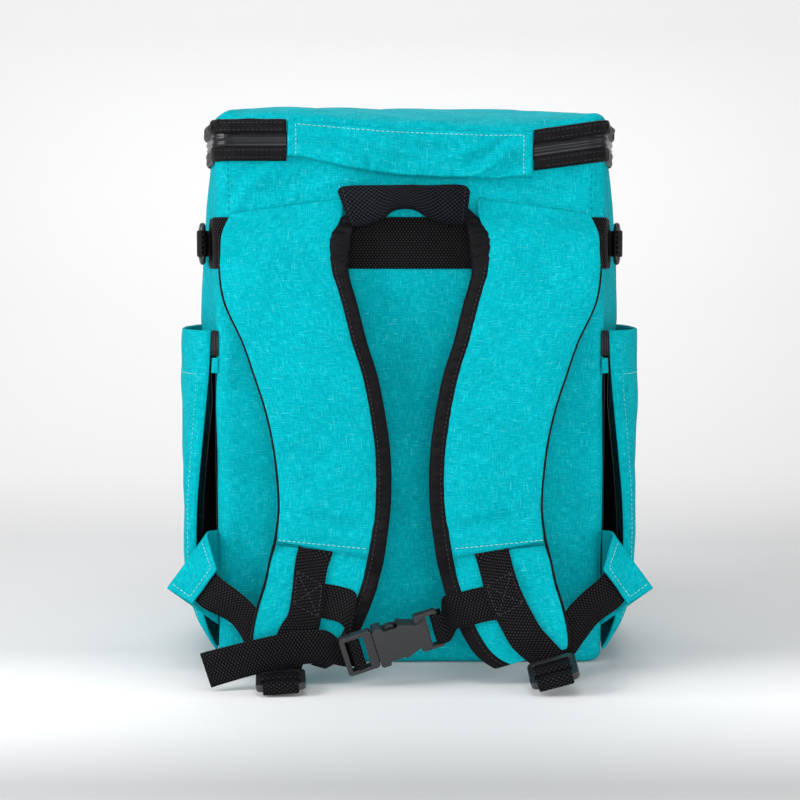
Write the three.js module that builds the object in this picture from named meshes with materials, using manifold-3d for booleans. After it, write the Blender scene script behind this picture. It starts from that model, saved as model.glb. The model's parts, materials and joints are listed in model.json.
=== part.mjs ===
// A soft cooler backpack, standing on its base with its straps towards -Y.
// Millimetres, +Z up. The origin is the centre of the base, where it rests on the floor.
// +X is the right hand of someone who looks at the straps.
import * as THREE from "three";
import Module from "manifold-3d";
import { mergeVertices } from "three/addons/utils/BufferGeometryUtils.js";

const wasm = await Module();
wasm.setup();

const CLEAR = 0.35; // gap between pieces that are sewn or rest together
const FABRIC = 2; // doubled woven polyester
const TAPE = 1.5; // nylon webbing and binding tape

// Insulated tub. Its foam wall is as thick as the real one.
const BODY = {
  width: 290,
  depth: 200,
  rimHeight: 384,
  wall: 9,
  cornerRadius: 14,
  baseRadius: 7,
  sideBulge: 21,
  frontBulge: 10,
  backBulge: 3,
};
// height: share of the rim's height. side, face: shares of the bulges there.
const SKIN_ROWS = [
  { height: 0, side: 0.2, face: 0 },
  { height: 0.12, side: 0.42, face: 0.5 },
  { height: 0.24, side: 0.58, face: 0.85 },
  { height: 0.52, side: 0.78, face: 1 },
  { height: 0.665, side: 1, face: 1 },
  { height: 0.78, side: 0.9, face: 0.9 },
  { height: 0.9, side: 0.76, face: 0.6 },
  { height: 0.975, side: 0.55, face: 0.3 },
  { height: 1.06, side: 0.66, face: 0.3 },
];
const LID = { rimThickness: 9, crown: 16 };
// inward: share of the half depth. rise: share of the crown.
const LID_ROWS = [
  { inward: 0, rise: 0 },
  { inward: 0.03, rise: 0.25 },
  { inward: 0.1, rise: 0.45 },
  { inward: 0.25, rise: 0.68 },
  { inward: 0.5, rise: 0.86 },
  { inward: 0.96, rise: 1 },
];
// Closure round the rim: binding on the tub, zip, binding on the lid, and the fabric hinge at the back.
const CLOSURE = { lidGap: 12, bindingHeight: 10.5, tapeOverlap: 4, tapeThickness: 1 };
const HINGE = { width: 180, thickness: 3, drop: 36, leftDrop: 25 };
// across: share of the half hinge width. drop: 0 is the short left end, 1 the full drop.
const HINGE_ROWS = [
  { across: -1, drop: 0 },
  { across: -0.66, drop: 0.6 },
  { across: -0.33, drop: 0.95 },
  { across: 0, drop: 1 },
  { across: 0.33, drop: 1 },
  { across: 0.66, drop: 1 },
  { across: 1, drop: 0.85 },
];
const SLIDER = { width: 9, height: 8, depth: 3.6, pullLength: 26, pullThickness: 1.6 };
// The back of the rim sags. across: share of the body's half width. drop: share of the sag.
const RIM_SAG = 8;
const RIM_SAG_SPAN = 50;
const SAG_ROWS = [
  { across: -1, drop: 0 },
  { across: -0.6, drop: 0 },
  { across: -0.34, drop: 0.38 },
  { across: -0.1, drop: 0.69 },
  { across: 0.2, drop: 0.88 },
  { across: 0.41, drop: 1 },
  { across: 0.62, drop: 1 },
  { across: 0.86, drop: 0.38 },
  { across: 1, drop: 0 },
];

// Wide webbing across the back panel and round both corners, with a ring on each side.
const LOAD_WEBBING = { width: 38, centre: 315, sideReach: 0.24 };
const RING = { inner: 24, wire: 4.6, projection: 17, turnOut: 12 };
const RING_LOOP = { width: 20, length: 15 };

// Shoulder straps. A row's lengths are shares: x of the half width, z of the top height, out of the standoff.
const STRAP = {
  topHeight: 349, standoff: 74, thickness: 11, innerBinding: 12, outerBinding: 2, bindingThickness: 4,
};
const PAD_ROWS = [
  { innerX: 0.276, innerZ: 1, outerX: 0.876, outerZ: 0.968, out: 0.1, thick: 0.36 },
  { innerX: 0.269, innerZ: 0.968, outerX: 0.903, outerZ: 0.948, out: 0.15, thick: 0.5 },
  { innerX: 0.303, innerZ: 0.923, outerX: 0.959, outerZ: 0.917, out: 0.257, thick: 0.85 },
  { innerX: 0.314, innerZ: 0.883, outerX: 0.962, outerZ: 0.883, out: 0.311, thick: 1 },
  { innerX: 0.314, innerZ: 0.848, outerX: 0.962, outerZ: 0.848, out: 0.365, thick: 1 },
  { innerX: 0.266, innerZ: 0.779, outerX: 0.934, outerZ: 0.779, out: 0.432, thick: 1 },
  { innerX: 0.214, innerZ: 0.696, outerX: 0.841, outerZ: 0.696, out: 0.5, thick: 1 },
  { innerX: 0.162, innerZ: 0.628, outerX: 0.783, outerZ: 0.628, out: 0.541, thick: 1 },
  { innerX: 0.128, innerZ: 0.559, outerX: 0.728, outerZ: 0.559, out: 0.581, thick: 1 },
  { innerX: 0.103, innerZ: 0.49, outerX: 0.69, outerZ: 0.49, out: 0.608, thick: 1 },
  { innerX: 0.093, innerZ: 0.424, outerX: 0.669, outerZ: 0.424, out: 0.635, thick: 1 },
  { innerX: 0.097, innerZ: 0.355, outerX: 0.659, outerZ: 0.355, out: 0.662, thick: 0.9 },
  { innerX: 0.114, innerZ: 0.295, outerX: 0.672, outerZ: 0.304, out: 0.689, thick: 0.6 },
  { innerX: 0.128, innerZ: 0.258, outerX: 0.679, outerZ: 0.284, out: 0.707, thick: 0.4 },
];
const TAIL_ROWS = [
  { innerX: 0.129, innerZ: 0.255, outerX: 0.68, outerZ: 0.281, out: 0.709 },
  { innerX: 0.145, innerZ: 0.223, outerX: 0.697, outerZ: 0.258, out: 0.736 },
  { innerX: 0.172, innerZ: 0.183, outerX: 0.724, outerZ: 0.206, out: 0.784 },
  { innerX: 0.21, innerZ: 0.143, outerX: 0.755, outerZ: 0.163, out: 0.845 },
  { innerX: 0.262, innerZ: 0.097, outerX: 0.779, outerZ: 0.12, out: 0.9 },
  { innerX: 0.324, innerZ: 0.06, outerX: 0.786, outerZ: 0.092, out: 0.935 },
  { innerX: 0.414, innerZ: 0.034, outerX: 0.779, outerZ: 0.077, out: 0.95 },
];
// How full the pad is from its inner to its outer seam.
const PAD_CROWN = [0.4, 0.85, 1, 1, 0.85, 0.4];
const TAIL = { recess: 3.6, thickness: 3, width: 78 };

// Padded carry handle in spacer mesh. along: share of the half length.
const HANDLE = { length: 100, height: 28, thickness: 15, standoff: 21.5, belowStrapTop: 7.5, endSlant: 4 };
const HANDLE_ROWS = [
  { along: -1, out: 0.24, tall: 1, thick: 0.27, rise: 0 },
  { along: -0.86, out: 0.36, tall: 0.98, thick: 0.5, rise: 0.1 },
  { along: -0.55, out: 0.72, tall: 0.82, thick: 0.85, rise: 0.5 },
  { along: -0.2, out: 0.97, tall: 0.68, thick: 1, rise: 0.95 },
  { along: 0.2, out: 1, tall: 0.66, thick: 1, rise: 1 },
  { along: 0.55, out: 0.75, tall: 0.8, thick: 0.85, rise: 0.55 },
  { along: 0.86, out: 0.36, tall: 0.96, thick: 0.5, rise: 0.1 },
  { along: 1, out: 0.24, tall: 0.98, thick: 0.27, rise: 0 },
];
const HANDLE_RISE = 5;

// Side pockets: a fabric wall, open on top, with a folded black gusset at its back edge.
const POCKET = { height: 250, backInset: 13, frontInset: 16, projection: 33 };
const POCKET_BACK = POCKET.backInset - BODY.depth / 2;
const POCKET_FRONT = BODY.depth / 2 - POCKET.frontInset;
// along: share of the pocket's depth from its back hem. out: share of its projection.
const POCKET_PLAN = [
  { along: 0, out: 0.3 },
  { along: 0.05, out: 0.62 },
  { along: 0.15, out: 0.84 },
  { along: 0.33, out: 0.97 },
  { along: 0.52, out: 1 },
  { along: 0.72, out: 0.88 },
  { along: 0.88, out: 0.5 },
  { along: 0.96, out: 0.14 },
  { along: 1, out: 0.045 },
];
// height: share of the pocket's height. out: share of the plan's projection.
// hem: how much farther the hem stands off.
const POCKET_ROWS = [
  { height: 0.03, out: 0.1, hem: 0 },
  { height: 0.07, out: 0.42, hem: 0.05 },
  { height: 0.13, out: 0.68, hem: 0.12 },
  { height: 0.22, out: 0.84, hem: 0.2 },
  { height: 0.38, out: 0.92, hem: 0.22 },
  { height: 0.62, out: 0.97, hem: 0.12 },
  { height: 0.86, out: 1, hem: 0.03 },
  { height: 1, out: 0.97, hem: 0 },
];
const GUSSET = { thickness: 1.2, foldDepth: 34, bottomGap: 26 };
const GUSSET_STRIPS = [
  { name: "gusset_elastic", finish: "webbing", top: 0, height: 19, reach: 1 },
  { name: "gusset_tab", finish: "fabric", top: 20.5, height: 11, reach: 0.75 },
];

// Folded fabric wings that anchor the lower webbing. All three edges run from an upper to a lower corner.
const WING = {
  seamTop: 100,
  seamBottom: 28,
  seamTurn: 0.545,
  reachOut: 36,
  reachForward: 33,
  foldRadius: 2.4,
};
// out: share of the reach beyond the side. forward: share of the reach in front.
// height: share of the seam's top.
const WING_CORNERS = {
  foldTop: { out: 0.18, forward: 0.18, height: 1.01 },
  foldBottom: { out: 0.99, forward: 0.64, height: 0.62 },
  frontTop: { out: -0.1, forward: 0.85, height: 0.765 },
  frontBottom: { out: 0.39, forward: 1, height: 0.52 },
};

// Narrow webbing, its plastic ladder locks and the side-release buckle.
const WEBBING = { width: 25, slotPlay: 0.8 };
const LADDER = { length: 28, thickness: 5, bar: 4.4, side: 4.2 };
const LADDER_WIDTH = WEBBING.width + 2 * (WEBBING.slotPlay + LADDER.side);
// Here and in the buckle and the tail, across is a share of the half width, forward of the straps'
// standoff and height of the straps' top height. Angles are degrees.
const LADDER_PLACES = {
  left: { across: -0.628, forward: 1.162, height: 0.0241, pitch: 9, roll: 3, yaw: 4 },
  right: { across: 0.69, forward: 1.176, height: 0.0436, pitch: 20, roll: 16, yaw: -3 },
};
const BUCKLE = {
  across: -0.037, forward: 0.986, height: 0.1017, rise: 17, lean: 25, turn: 5,
  edge: 3.2, play: 0.4, wall: 1.8,
  socketLength: 48, socketBefore: 0.42, loopThickness: 4.6, loopBar: 3.5, loopSlot: 5,
  plugLength: 23.6, plugThickness: 5, plugBar: 3.6, plugSlot: 5,
};
const BUCKLE_WIDTH = WEBBING.width + 2 * (WEBBING.slotPlay + BUCKLE.edge);
// The socket's side, from its mouth to its loop. along: share of its length. half: share of half the width.
const SOCKET_ROWS = [
  { along: 0, half: 0.91 },
  { along: 0.03, half: 1 },
  { along: 0.145, half: 1 },
  { along: 0.165, half: 0.79 },
  { along: 0.375, half: 0.79 },
  { along: 0.395, half: 0.9 },
  { along: 0.635, half: 0.6 },
  { along: 0.74, half: 0.66 },
  { along: 0.8, half: 0.85 },
];
// The plug's spring arms inside the socket, in the same shares.
const ARM_ROWS = [
  { along: -0.05, half: 0.76 },
  { along: 0.19, half: 0.76 },
  { along: 0.21, half: 0.93 },
  { along: 0.33, half: 0.93 },
  { along: 0.355, half: 0.66 },
  { along: 0.355, half: 0.48 },
  { along: 0.07, half: 0.43 },
  { along: 0.07, half: 0.24 },
  { along: 0.37, half: 0.18 },
];
const SOCKET_MOUTH = { depth: 0.4, half: 0.82 };
const STERNUM_TAIL = { foldLength: 16 };
// lean, back: how far the webbing's upper edge leans to the right and to the viewer, for 1 up.
const STERNUM_TAIL_ROWS = [
  { across: -0.414, forward: 1.054, height: 0.0874, lean: 0, back: 0.2 },
  { across: -0.566, forward: 1.095, height: 0.0848, lean: 0, back: 0.15 },
  { across: -0.772, forward: 1.122, height: 0.0673, lean: 0.15, back: 0.1 },
  { across: -0.993, forward: 1.135, height: 0.0418, lean: 0.3, back: 0.05 },
];

const COLOURS = {
  fabric: { color: 0x00a5ad, roughness: 0.75, metalness: 0 },
  blackFabric: { color: 0x2a272c, roughness: 0.7, metalness: 0 },
  rubber: { color: 0x2c2f36, roughness: 0.4, metalness: 0 },
  webbing: { color: 0x1a191b, roughness: 0.8, metalness: 0 },
  mesh: { color: 0x1b1d24, roughness: 0.9, metalness: 0 },
  plastic: { color: 0x3a3a3c, roughness: 0.45, metalness: 0 },
};

const SIDES = [{ name: "left", sign: -1 }, { name: "right", sign: 1 }];
const model = new THREE.Group();
const vector = (x, y, z) => new THREE.Vector3(x, y, z);
const radians = THREE.MathUtils.degToRad;

function addMesh(name, geometry, finish, parent = model) {
  const mesh = new THREE.Mesh(geometry, new THREE.MeshStandardMaterial(COLOURS[finish]));
  mesh.name = name;
  parent.add(mesh);
  return mesh;
}

// Value of a column between a table's rows, straight from row to row.
function between(rows, key, value, column) {
  const last = rows.length - 1;
  const clamped = THREE.MathUtils.clamp(value, rows[0][key], rows[last][key]);
  const upper = Math.max(1, rows.findIndex((row) => row[key] >= clamped));
  const [low, high] = [rows[upper - 1], rows[upper]];
  const share = (clamped - low[key]) / (high[key] - low[key]);
  return THREE.MathUtils.lerp(low[column], high[column], share);
}

// A closed geometry from shared points, its triangles turned so that its faces point out.
function closedGeometry(points, triangles) {
  const signedVolume = triangles.reduce(
    (sum, [a, b, c]) => sum + points[a].dot(vector().crossVectors(points[b], points[c])), 0);
  const ordered = signedVolume < 0 ? triangles.map(([a, b, c]) => [a, c, b]) : triangles;
  const geometry = new THREE.BufferGeometry();
  geometry.setAttribute("position", new THREE.Float32BufferAttribute(points.flatMap((p) => p.toArray()), 3));
  geometry.setIndex(ordered.flat());
  geometry.computeVertexNormals();
  return geometry;
}

// A wall between two grids of points that have as many rows and columns.
function slab(front, back) {
  const [rows, columns] = [front.length, front[0].length];
  const count = rows * columns;
  const index = (i, j) => i * columns + j;
  const triangles = [];
  for (let i = 0; i + 1 < rows; i++) {
    for (let j = 0; j + 1 < columns; j++) {
      const [a, b, c, d] = [index(i, j), index(i, j + 1), index(i + 1, j + 1), index(i + 1, j)];
      triangles.push([a, b, c], [a, c, d]);
      triangles.push([a + count, c + count, b + count], [a + count, d + count, c + count]);
    }
  }
  const border = [];
  for (let j = 0; j + 1 < columns; j++) border.push(index(0, j));
  for (let i = 0; i + 1 < rows; i++) border.push(index(i, columns - 1));
  for (let j = columns - 1; j > 0; j--) border.push(index(rows - 1, j));
  for (let i = rows - 1; i > 0; i--) border.push(index(i, 0));
  border.forEach((a, k) => {
    const b = border[(k + 1) % border.length];
    triangles.push([b, a, a + count], [b, a + count, b + count]);
  });
  return closedGeometry([...front.flat(), ...back.flat()], triangles);
}

// A sheet of even or varying thickness about the middle surface that a grid of points gives.
function sheet(grid, thickness) {
  const [lastRow, lastColumn] = [grid.length - 1, grid[0].length - 1];
  const at = (i, j) => grid[THREE.MathUtils.clamp(i, 0, lastRow)][THREE.MathUtils.clamp(j, 0, lastColumn)];
  const shifted = (side) => grid.map((row, i) => row.map((point, j) => {
    const alongRow = at(i, j + 1).clone().sub(at(i, j - 1));
    const acrossRows = at(i + 1, j).clone().sub(at(i - 1, j));
    const normal = alongRow.cross(acrossRows).normalize();
    return point.clone().addScaledVector(normal, (side * thickness) / 2);
  }));
  return slab(shifted(1), shifted(-1));
}

// A solid through rings of as many points, closed by a fan at each end.
function loft(rings) {
  const size = rings[0].length;
  const points = rings.flat();
  const triangles = [];
  for (let k = 0; k + 1 < rings.length; k++) {
    for (let j = 0; j < size; j++) {
      const next = (j + 1) % size;
      const [a, b, c, d] = [k * size + j, k * size + next, (k + 1) * size + next, (k + 1) * size + j];
      triangles.push([a, b, c], [a, c, d]);
    }
  }
  [[0, 1], [rings.length - 1, -1]].forEach(([ring, turn]) => {
    const centre = rings[ring].reduce((sum, p) => sum.add(p), vector()).divideScalar(size);
    points.push(centre);
    for (let j = 0; j < size; j++) {
      const [a, b] = [ring * size + j, ring * size + ((j + 1) % size)];
      triangles.push(turn > 0 ? [points.length - 1, b, a] : [points.length - 1, a, b]);
    }
  });
  return closedGeometry(points, triangles);
}

// Places on the way of webbing round a bar of a buckle: pairs of a place along it and one out of its face.
function roundBar(centre, halfWidth, halfThickness, angles) {
  const reach = 1.5 * CLEAR + TAPE / 2;
  return angles.map((angle) => {
    const [along, out] = [Math.cos(radians(angle)), Math.sin(radians(angle))];
    const corner = (value, half) => (Math.abs(value) < 1e-6 ? 0 : Math.sign(value) * half);
    return [centre + corner(along, halfWidth) + reach * along, corner(out, halfThickness) + reach * out];
  });
}

// A flat strap along a smooth path. Each station has a point and the direction of its width.
function strapAlong(stations, width, thickness, stepsBetween = 2) {
  const steps = (stations.length - 1) * stepsBetween;
  const path = new THREE.CatmullRomCurve3(stations.map(({ at }) => at), false, "centripetal");
  const sides = new THREE.CatmullRomCurve3(stations.map(({ across }) => across), false, "centripetal");
  const grid = [];
  for (let i = 0; i <= steps; i++) {
    const point = path.getPoint(i / steps);
    const half = sides.getPoint(i / steps).normalize().multiplyScalar(width / 2);
    grid.push([point.clone().sub(half), point.clone().add(half)]);
  }
  return sheet(grid, thickness);
}

function toSolid(geometry) {
  const bare = geometry.clone();
  bare.deleteAttribute("normal");
  bare.deleteAttribute("uv");
  const merged = mergeVertices(bare, 1e-4);
  const triVerts = new Uint32Array(merged.index.array);
  const vertProperties = new Float32Array(merged.attributes.position.array);
  return new wasm.Manifold(new wasm.Mesh({ numProp: 3, vertProperties, triVerts }));
}

function fromSolid(solid) {
  const mesh = solid.getMesh();
  const geometry = new THREE.BufferGeometry();
  geometry.setAttribute("position", new THREE.BufferAttribute(mesh.vertProperties, 3));
  geometry.setIndex(new THREE.BufferAttribute(mesh.triVerts, 1));
  geometry.computeVertexNormals();
  return geometry;
}

// A plate through an outline of [x, y] points with rectangular slots, centred on its thickness.
function plate(outline, slots, thickness) {
  const shape = new THREE.Shape(outline.map(([x, y]) => new THREE.Vector2(x, y)));
  const extruded = new THREE.ExtrudeGeometry(shape, { depth: thickness, bevelEnabled: false });
  return slots.reduce((solid, { left, right, low, high }) => {
    const cutter = new THREE.BoxGeometry(right - left, high - low, 2 * thickness);
    cutter.translate((left + right) / 2, (low + high) / 2, 0);
    return solid.subtract(toSolid(cutter));
  }, toSolid(extruded.translate(0, 0, -thickness / 2)));
}

// Corners of a rectangle with rounded corners, counter-clockwise.
function roundedRectangle(left, right, low, high, radius, steps) {
  const centres = [[right - radius, high - radius], [left + radius, high - radius],
    [left + radius, low + radius], [right - radius, low + radius]];
  return centres.flatMap(([x, y], corner) => Array.from({ length: steps + 1 }, (_, k) => {
    const angle = (Math.PI / 2) * (corner + k / steps);
    return [x + radius * Math.cos(angle), y + radius * Math.sin(angle)];
  }));
}

// The skin of the bag. Turn 0 is the middle of the back, 1 of the right side, 2 of the front, 3 of the left.
const FLAT_SHARE = 0.4;
const FLAT_STEPS = 6;
const CORNER_STEPS = 3;
// How full a face is at a share of its half width, straight from one point of the section to the next.
function fullness(share) {
  const place = Math.min(Math.abs(share), 1) * (FLAT_STEPS / 2);
  const full = (step) => Math.cos((Math.PI * step) / FLAT_STEPS) ** 2;
  const step = Math.floor(place);
  return THREE.MathUtils.lerp(full(step), full(step + 1), place - step);
}

function skinPoint(height, turn, outset) {
  const side = Math.round(turn);
  const local = turn - side;
  const facesY = side % 2 === 0;
  const lift = Math.max(0, BODY.baseRadius - height);
  const inset = BODY.baseRadius - Math.sqrt(BODY.baseRadius ** 2 - lift ** 2) - outset;
  const halfOut = (facesY ? BODY.depth : BODY.width) / 2 - inset;
  const halfAlong = (facesY ? BODY.width : BODY.depth) / 2 - inset;
  const radius = Math.max(BODY.cornerRadius - inset, 1);
  const share = height / BODY.rimHeight;
  const bulges = [BODY.backBulge, BODY.sideBulge, BODY.frontBulge, BODY.sideBulge];
  const bulge = bulges[side % 4] * between(SKIN_ROWS, "height", share, facesY ? "face" : "side");
  let along = (local / FLAT_SHARE) * (halfAlong - radius);
  let out = halfOut + bulge * fullness(local / FLAT_SHARE);
  if (Math.abs(local) > FLAT_SHARE) {
    const angle = ((Math.abs(local) - FLAT_SHARE) / (0.5 - FLAT_SHARE)) * (Math.PI / 4);
    along = Math.sign(local) * (halfAlong - radius + radius * Math.sin(angle));
    out = halfOut - radius + radius * Math.cos(angle);
  }
  const angle = (side * Math.PI) / 2;
  return vector(along * Math.cos(angle) + out * Math.sin(angle),
    along * Math.sin(angle) - out * Math.cos(angle), height);
}

// Turns of the points round the skin, between two turns and with both of them.
function turnsBetween(first, last) {
  const turns = [];
  for (let side = 0; side <= 4; side++) {
    for (let k = -FLAT_STEPS / 2; k <= FLAT_STEPS / 2; k++) {
      turns.push(side + (FLAT_SHARE * k) / (FLAT_STEPS / 2));
    }
    for (let k = 1; k < 2 * CORNER_STEPS; k++) {
      turns.push(side + FLAT_SHARE + ((1 - 2 * FLAT_SHARE) * k) / (2 * CORNER_STEPS));
    }
  }
  const closest = 0.01;
  const inside = turns.filter((turn) => turn > first + closest && turn < last - closest);
  return [first, ...inside, last];
}
const turnAcross = (x) => (FLAT_SHARE * x) / (BODY.width / 2 - BODY.cornerRadius);
const ALL_ROUND = turnsBetween(0, 4).slice(0, -1);
const skinRing = (height, outset, z = height) =>
  ALL_ROUND.map((turn) => skinPoint(height, turn, outset).setZ(z));

// Heights of the rows of a band on the skin, with the table's rows between its edges.
function levelsBetween(low, high) {
  const rows = SKIN_ROWS.map((row) => row.height * BODY.rimHeight);
  return [low, ...rows.filter((z) => z > low + 1 && z < high - 1), high];
}

// A band on the skin, from an inner to an outer outset, open at its two ends.
function skinBand(low, high, firstTurn, lastTurn, inner, outer) {
  const turns = turnsBetween(firstTurn, lastTurn);
  const levels = levelsBetween(low, high);
  const grid = (outset) => levels.map((z) => turns.map((turn) => skinPoint(z, turn, outset)));
  return slab(grid(outer), grid(inner));
}

// The back of the rim settles under its own weight.
function settled(geometry) {
  const position = geometry.attributes.position;
  for (let i = 0; i < position.count; i++) {
    const [x, y, z] = [position.getX(i), position.getY(i), position.getZ(i)];
    const across = between(SAG_ROWS, "across", x / (BODY.width / 2), "drop");
    const atBack = THREE.MathUtils.smoothstep(-y, 0, BODY.depth / 2);
    const atRim = THREE.MathUtils.smoothstep(z, BODY.rimHeight - RIM_SAG_SPAN, BODY.rimHeight);
    position.setZ(i, z - RIM_SAG * across * atBack * atRim);
  }
  return geometry;
}

function buildTub() {
  const low = [0, 0.14, 0.4, 0.7, 1].map((share) => share * BODY.baseRadius);
  const rows = SKIN_ROWS.map((row) => row.height * BODY.rimHeight);
  const levels = [...low, ...rows.filter((z) => z > BODY.baseRadius && z < BODY.rimHeight), BODY.rimHeight];
  const outer = levels.map((z) => skinRing(z, 0));
  const innerLevels = [1, 0.9, 0.665, 0.4, 0.12].map((share) => share * BODY.rimHeight);
  const inner = innerLevels.map((z) => skinRing(z, -BODY.wall));
  const floor = skinRing(BODY.wall + BODY.baseRadius, -BODY.wall, BODY.wall);
  addMesh("body_tub", settled(loft([...outer, ...inner, floor])), "fabric");
}

const LID_LOW = BODY.rimHeight + CLOSURE.lidGap;
const LID_HIGH = LID_LOW + LID.rimThickness;

function buildLid() {
  const ring = ({ inward, rise }, lower) =>
    skinRing(LID_HIGH - lower, -inward * (BODY.depth / 2), LID_HIGH - lower + rise * LID.crown);
  const top = LID_ROWS.map((row) => ring(row, 0)).reverse();
  const under = LID_ROWS.filter((row) => row.inward === 0 || row.inward >= 0.1)
    .map((row) => ring(row, LID.rimThickness));
  addMesh("lid", settled(loft([...top, ...under])), "fabric");
}

function buildClosure() {
  const ends = turnAcross(HINGE.width / 2 + CLEAR * 2);
  const tapeOuter = CLEAR + CLOSURE.tapeThickness;
  const bindingInner = tapeOuter + CLEAR;
  const bindingOuter = bindingInner + TAPE;
  const band = (low, high, inner, outer) => settled(skinBand(low, high, ends, 4 - ends, inner, outer));
  const lowBinding = BODY.rimHeight - CLOSURE.bindingHeight + 1.5;
  const highBinding = LID_HIGH - CLOSURE.bindingHeight + 0.5;
  addMesh("tub_binding", band(lowBinding, lowBinding + CLOSURE.bindingHeight, bindingInner, bindingOuter),
    "blackFabric");
  const [tapeLow, tapeHigh] = [BODY.rimHeight - CLOSURE.tapeOverlap, LID_LOW + CLOSURE.tapeOverlap];
  addMesh("zip_tape", band(tapeLow, tapeHigh, CLEAR, tapeOuter), "rubber");
  addMesh("lid_binding", band(highBinding, highBinding + CLOSURE.bindingHeight, bindingInner, bindingOuter),
    "blackFabric");
  buildSlider((BODY.rimHeight + LID_LOW) / 2, tapeOuter, bindingOuter);
}

// Zip slider with its pull, closed at the middle of the front.
function buildSlider(height, tapeOuter, bindingOuter) {
  const face = skinPoint(height, 2, 0).y;
  const body = new THREE.BoxGeometry(SLIDER.width, SLIDER.depth, SLIDER.height);
  body.translate(0, face + tapeOuter + CLEAR + SLIDER.depth / 2, height);
  const pullFace = face + bindingOuter + 2 * CLEAR;
  const pull = new THREE.BoxGeometry(SLIDER.width * 0.7, SLIDER.pullThickness, SLIDER.pullLength);
  pull.translate(0, pullFace + SLIDER.pullThickness / 2, height + SLIDER.height / 2 - SLIDER.pullLength / 2);
  addMesh("zip_slider", fromSolid(toSolid(body).add(toSolid(pull))), "plastic");
}

function buildHinge() {
  const half = HINGE.width / 2;
  const top = LID_HIGH - 1;
  const rows = 4;
  const columns = 12;
  const hingePoint = (i, j, outset) => {
    const across = -1 + (2 * j) / columns;
    const share = between(HINGE_ROWS, "across", across, "drop");
    const drop = THREE.MathUtils.lerp(HINGE.leftDrop, HINGE.drop, share);
    return skinPoint(top - (drop * i) / rows, turnAcross(across * half), outset);
  };
  const grid = (outset) => Array.from({ length: rows + 1 }, (_, i) =>
    Array.from({ length: columns + 1 }, (__, j) => hingePoint(i, j, outset)));
  addMesh("lid_hinge_panel", settled(slab(grid(CLEAR + HINGE.thickness), grid(CLEAR))), "fabric");
}

function buildLoadWebbing() {
  const low = LOAD_WEBBING.centre - LOAD_WEBBING.width / 2;
  const end = 1 - LOAD_WEBBING.sideReach;
  const backTurns = turnsBetween(0, end);
  const turns = [...backTurns.slice(1).reverse().map((turn) => -turn), ...backTurns];
  const mirrored = (z, turn, outset) => {
    const point = skinPoint(z, Math.abs(turn), outset);
    return turn < 0 ? point.setX(-point.x) : point;
  };
  const grid = (outset) =>
    levelsBetween(low, low + LOAD_WEBBING.width).map((z) => turns.map((turn) => mirrored(z, turn, outset)));
  addMesh("load_webbing", slab(grid(CLEAR + TAPE), grid(CLEAR)), "webbing");
}

// A plastic ring on each side, held by a folded loop of webbing on the load webbing.
function buildRings() {
  SIDES.forEach(({ name, sign }) => {
    const stack = 2 * CLEAR + TAPE;
    const outset = stack + TAPE + RING.wire / 2 + 3.5 * CLEAR;
    const bar = skinPoint(LOAD_WEBBING.centre, 1 - LOAD_WEBBING.sideReach, outset);
    const place = new THREE.Group();
    place.position.set(sign * bar.x, bar.y, bar.z);
    place.rotation.z = -sign * radians(RING.turnOut);
    model.add(place);
    const half = RING.inner / 2 + RING.wire / 2;
    const outline = [];
    const arcSteps = 12;
    for (let k = 0; k <= arcSteps; k++) {
      const angle = -Math.PI / 2 + (Math.PI * k) / arcSteps;
      outline.push(vector(0, RING.projection * Math.cos(angle), half * Math.sin(angle)));
    }
    outline.push(vector(0, 0, 0));
    const path = new THREE.CatmullRomCurve3(outline, true, "centripetal");
    const wireSides = 8;
    const circle = new THREE.EllipseCurve(0, 0, RING.wire / 2, RING.wire / 2);
    const section = new THREE.Shape(circle.getPoints(wireSides).slice(0, -1));
    const ring = new THREE.ExtrudeGeometry(section, { steps: 32, extrudePath: path });
    addMesh(`side_ring_${name}`, ring, "plastic", place);
    const loopRadius = RING.wire / 2 + 2.6 * CLEAR + TAPE / 2;
    const stations = [[-1, -loopRadius], [-0.5, -loopRadius]].map(([share, x]) => ({
      at: vector(sign * x, share * RING_LOOP.length, 0), across: vector(0, 0, 1) }));
    for (let k = 0; k <= 4; k++) {
      const angle = -Math.PI / 2 + (Math.PI * k) / 4;
      stations.push({
        at: vector(sign * loopRadius * Math.sin(angle), loopRadius * Math.cos(angle), 0),
        across: vector(0, 0, 1),
      });
    }
    [[-0.5, 1], [-1, 0.4]].forEach(([share, x]) => stations.push({
      at: vector(sign * loopRadius * x, share * RING_LOOP.length, 0), across: vector(0, 0, 1) }));
    addMesh(`ring_loop_${name}`, strapAlong(stations, RING_LOOP.width, TAPE), "webbing", place);
  });
}

// Corner points of a strap's row, with the front face's place.
function strapRow(row, sign) {
  const inner = vector(sign * row.innerX * (BODY.width / 2), 0, row.innerZ * STRAP.topHeight);
  const outer = vector(sign * row.outerX * (BODY.width / 2), 0, row.outerZ * STRAP.topHeight);
  const front = -(BODY.depth / 2) - row.out * STRAP.standoff;
  const across = outer.clone().sub(inner);
  const width = across.length();
  return { inner, across: across.normalize(), width, front };
}

function strapPoint(row, sign, distance, y) {
  const { inner, across } = strapRow(row, sign);
  return inner.clone().addScaledVector(across, distance).setY(y);
}

function padGrid(rows, sign, crown, depthAt) {
  return rows.map((row) => {
    const { width, front } = strapRow(row, sign);
    const first = STRAP.innerBinding + CLEAR;
    const last = width - STRAP.outerBinding - CLEAR;
    return crown.map((full, j) => {
      const distance = THREE.MathUtils.lerp(first, last, j / (crown.length - 1));
      return strapPoint(row, sign, distance, front + depthAt(row, full));
    });
  });
}

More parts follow.
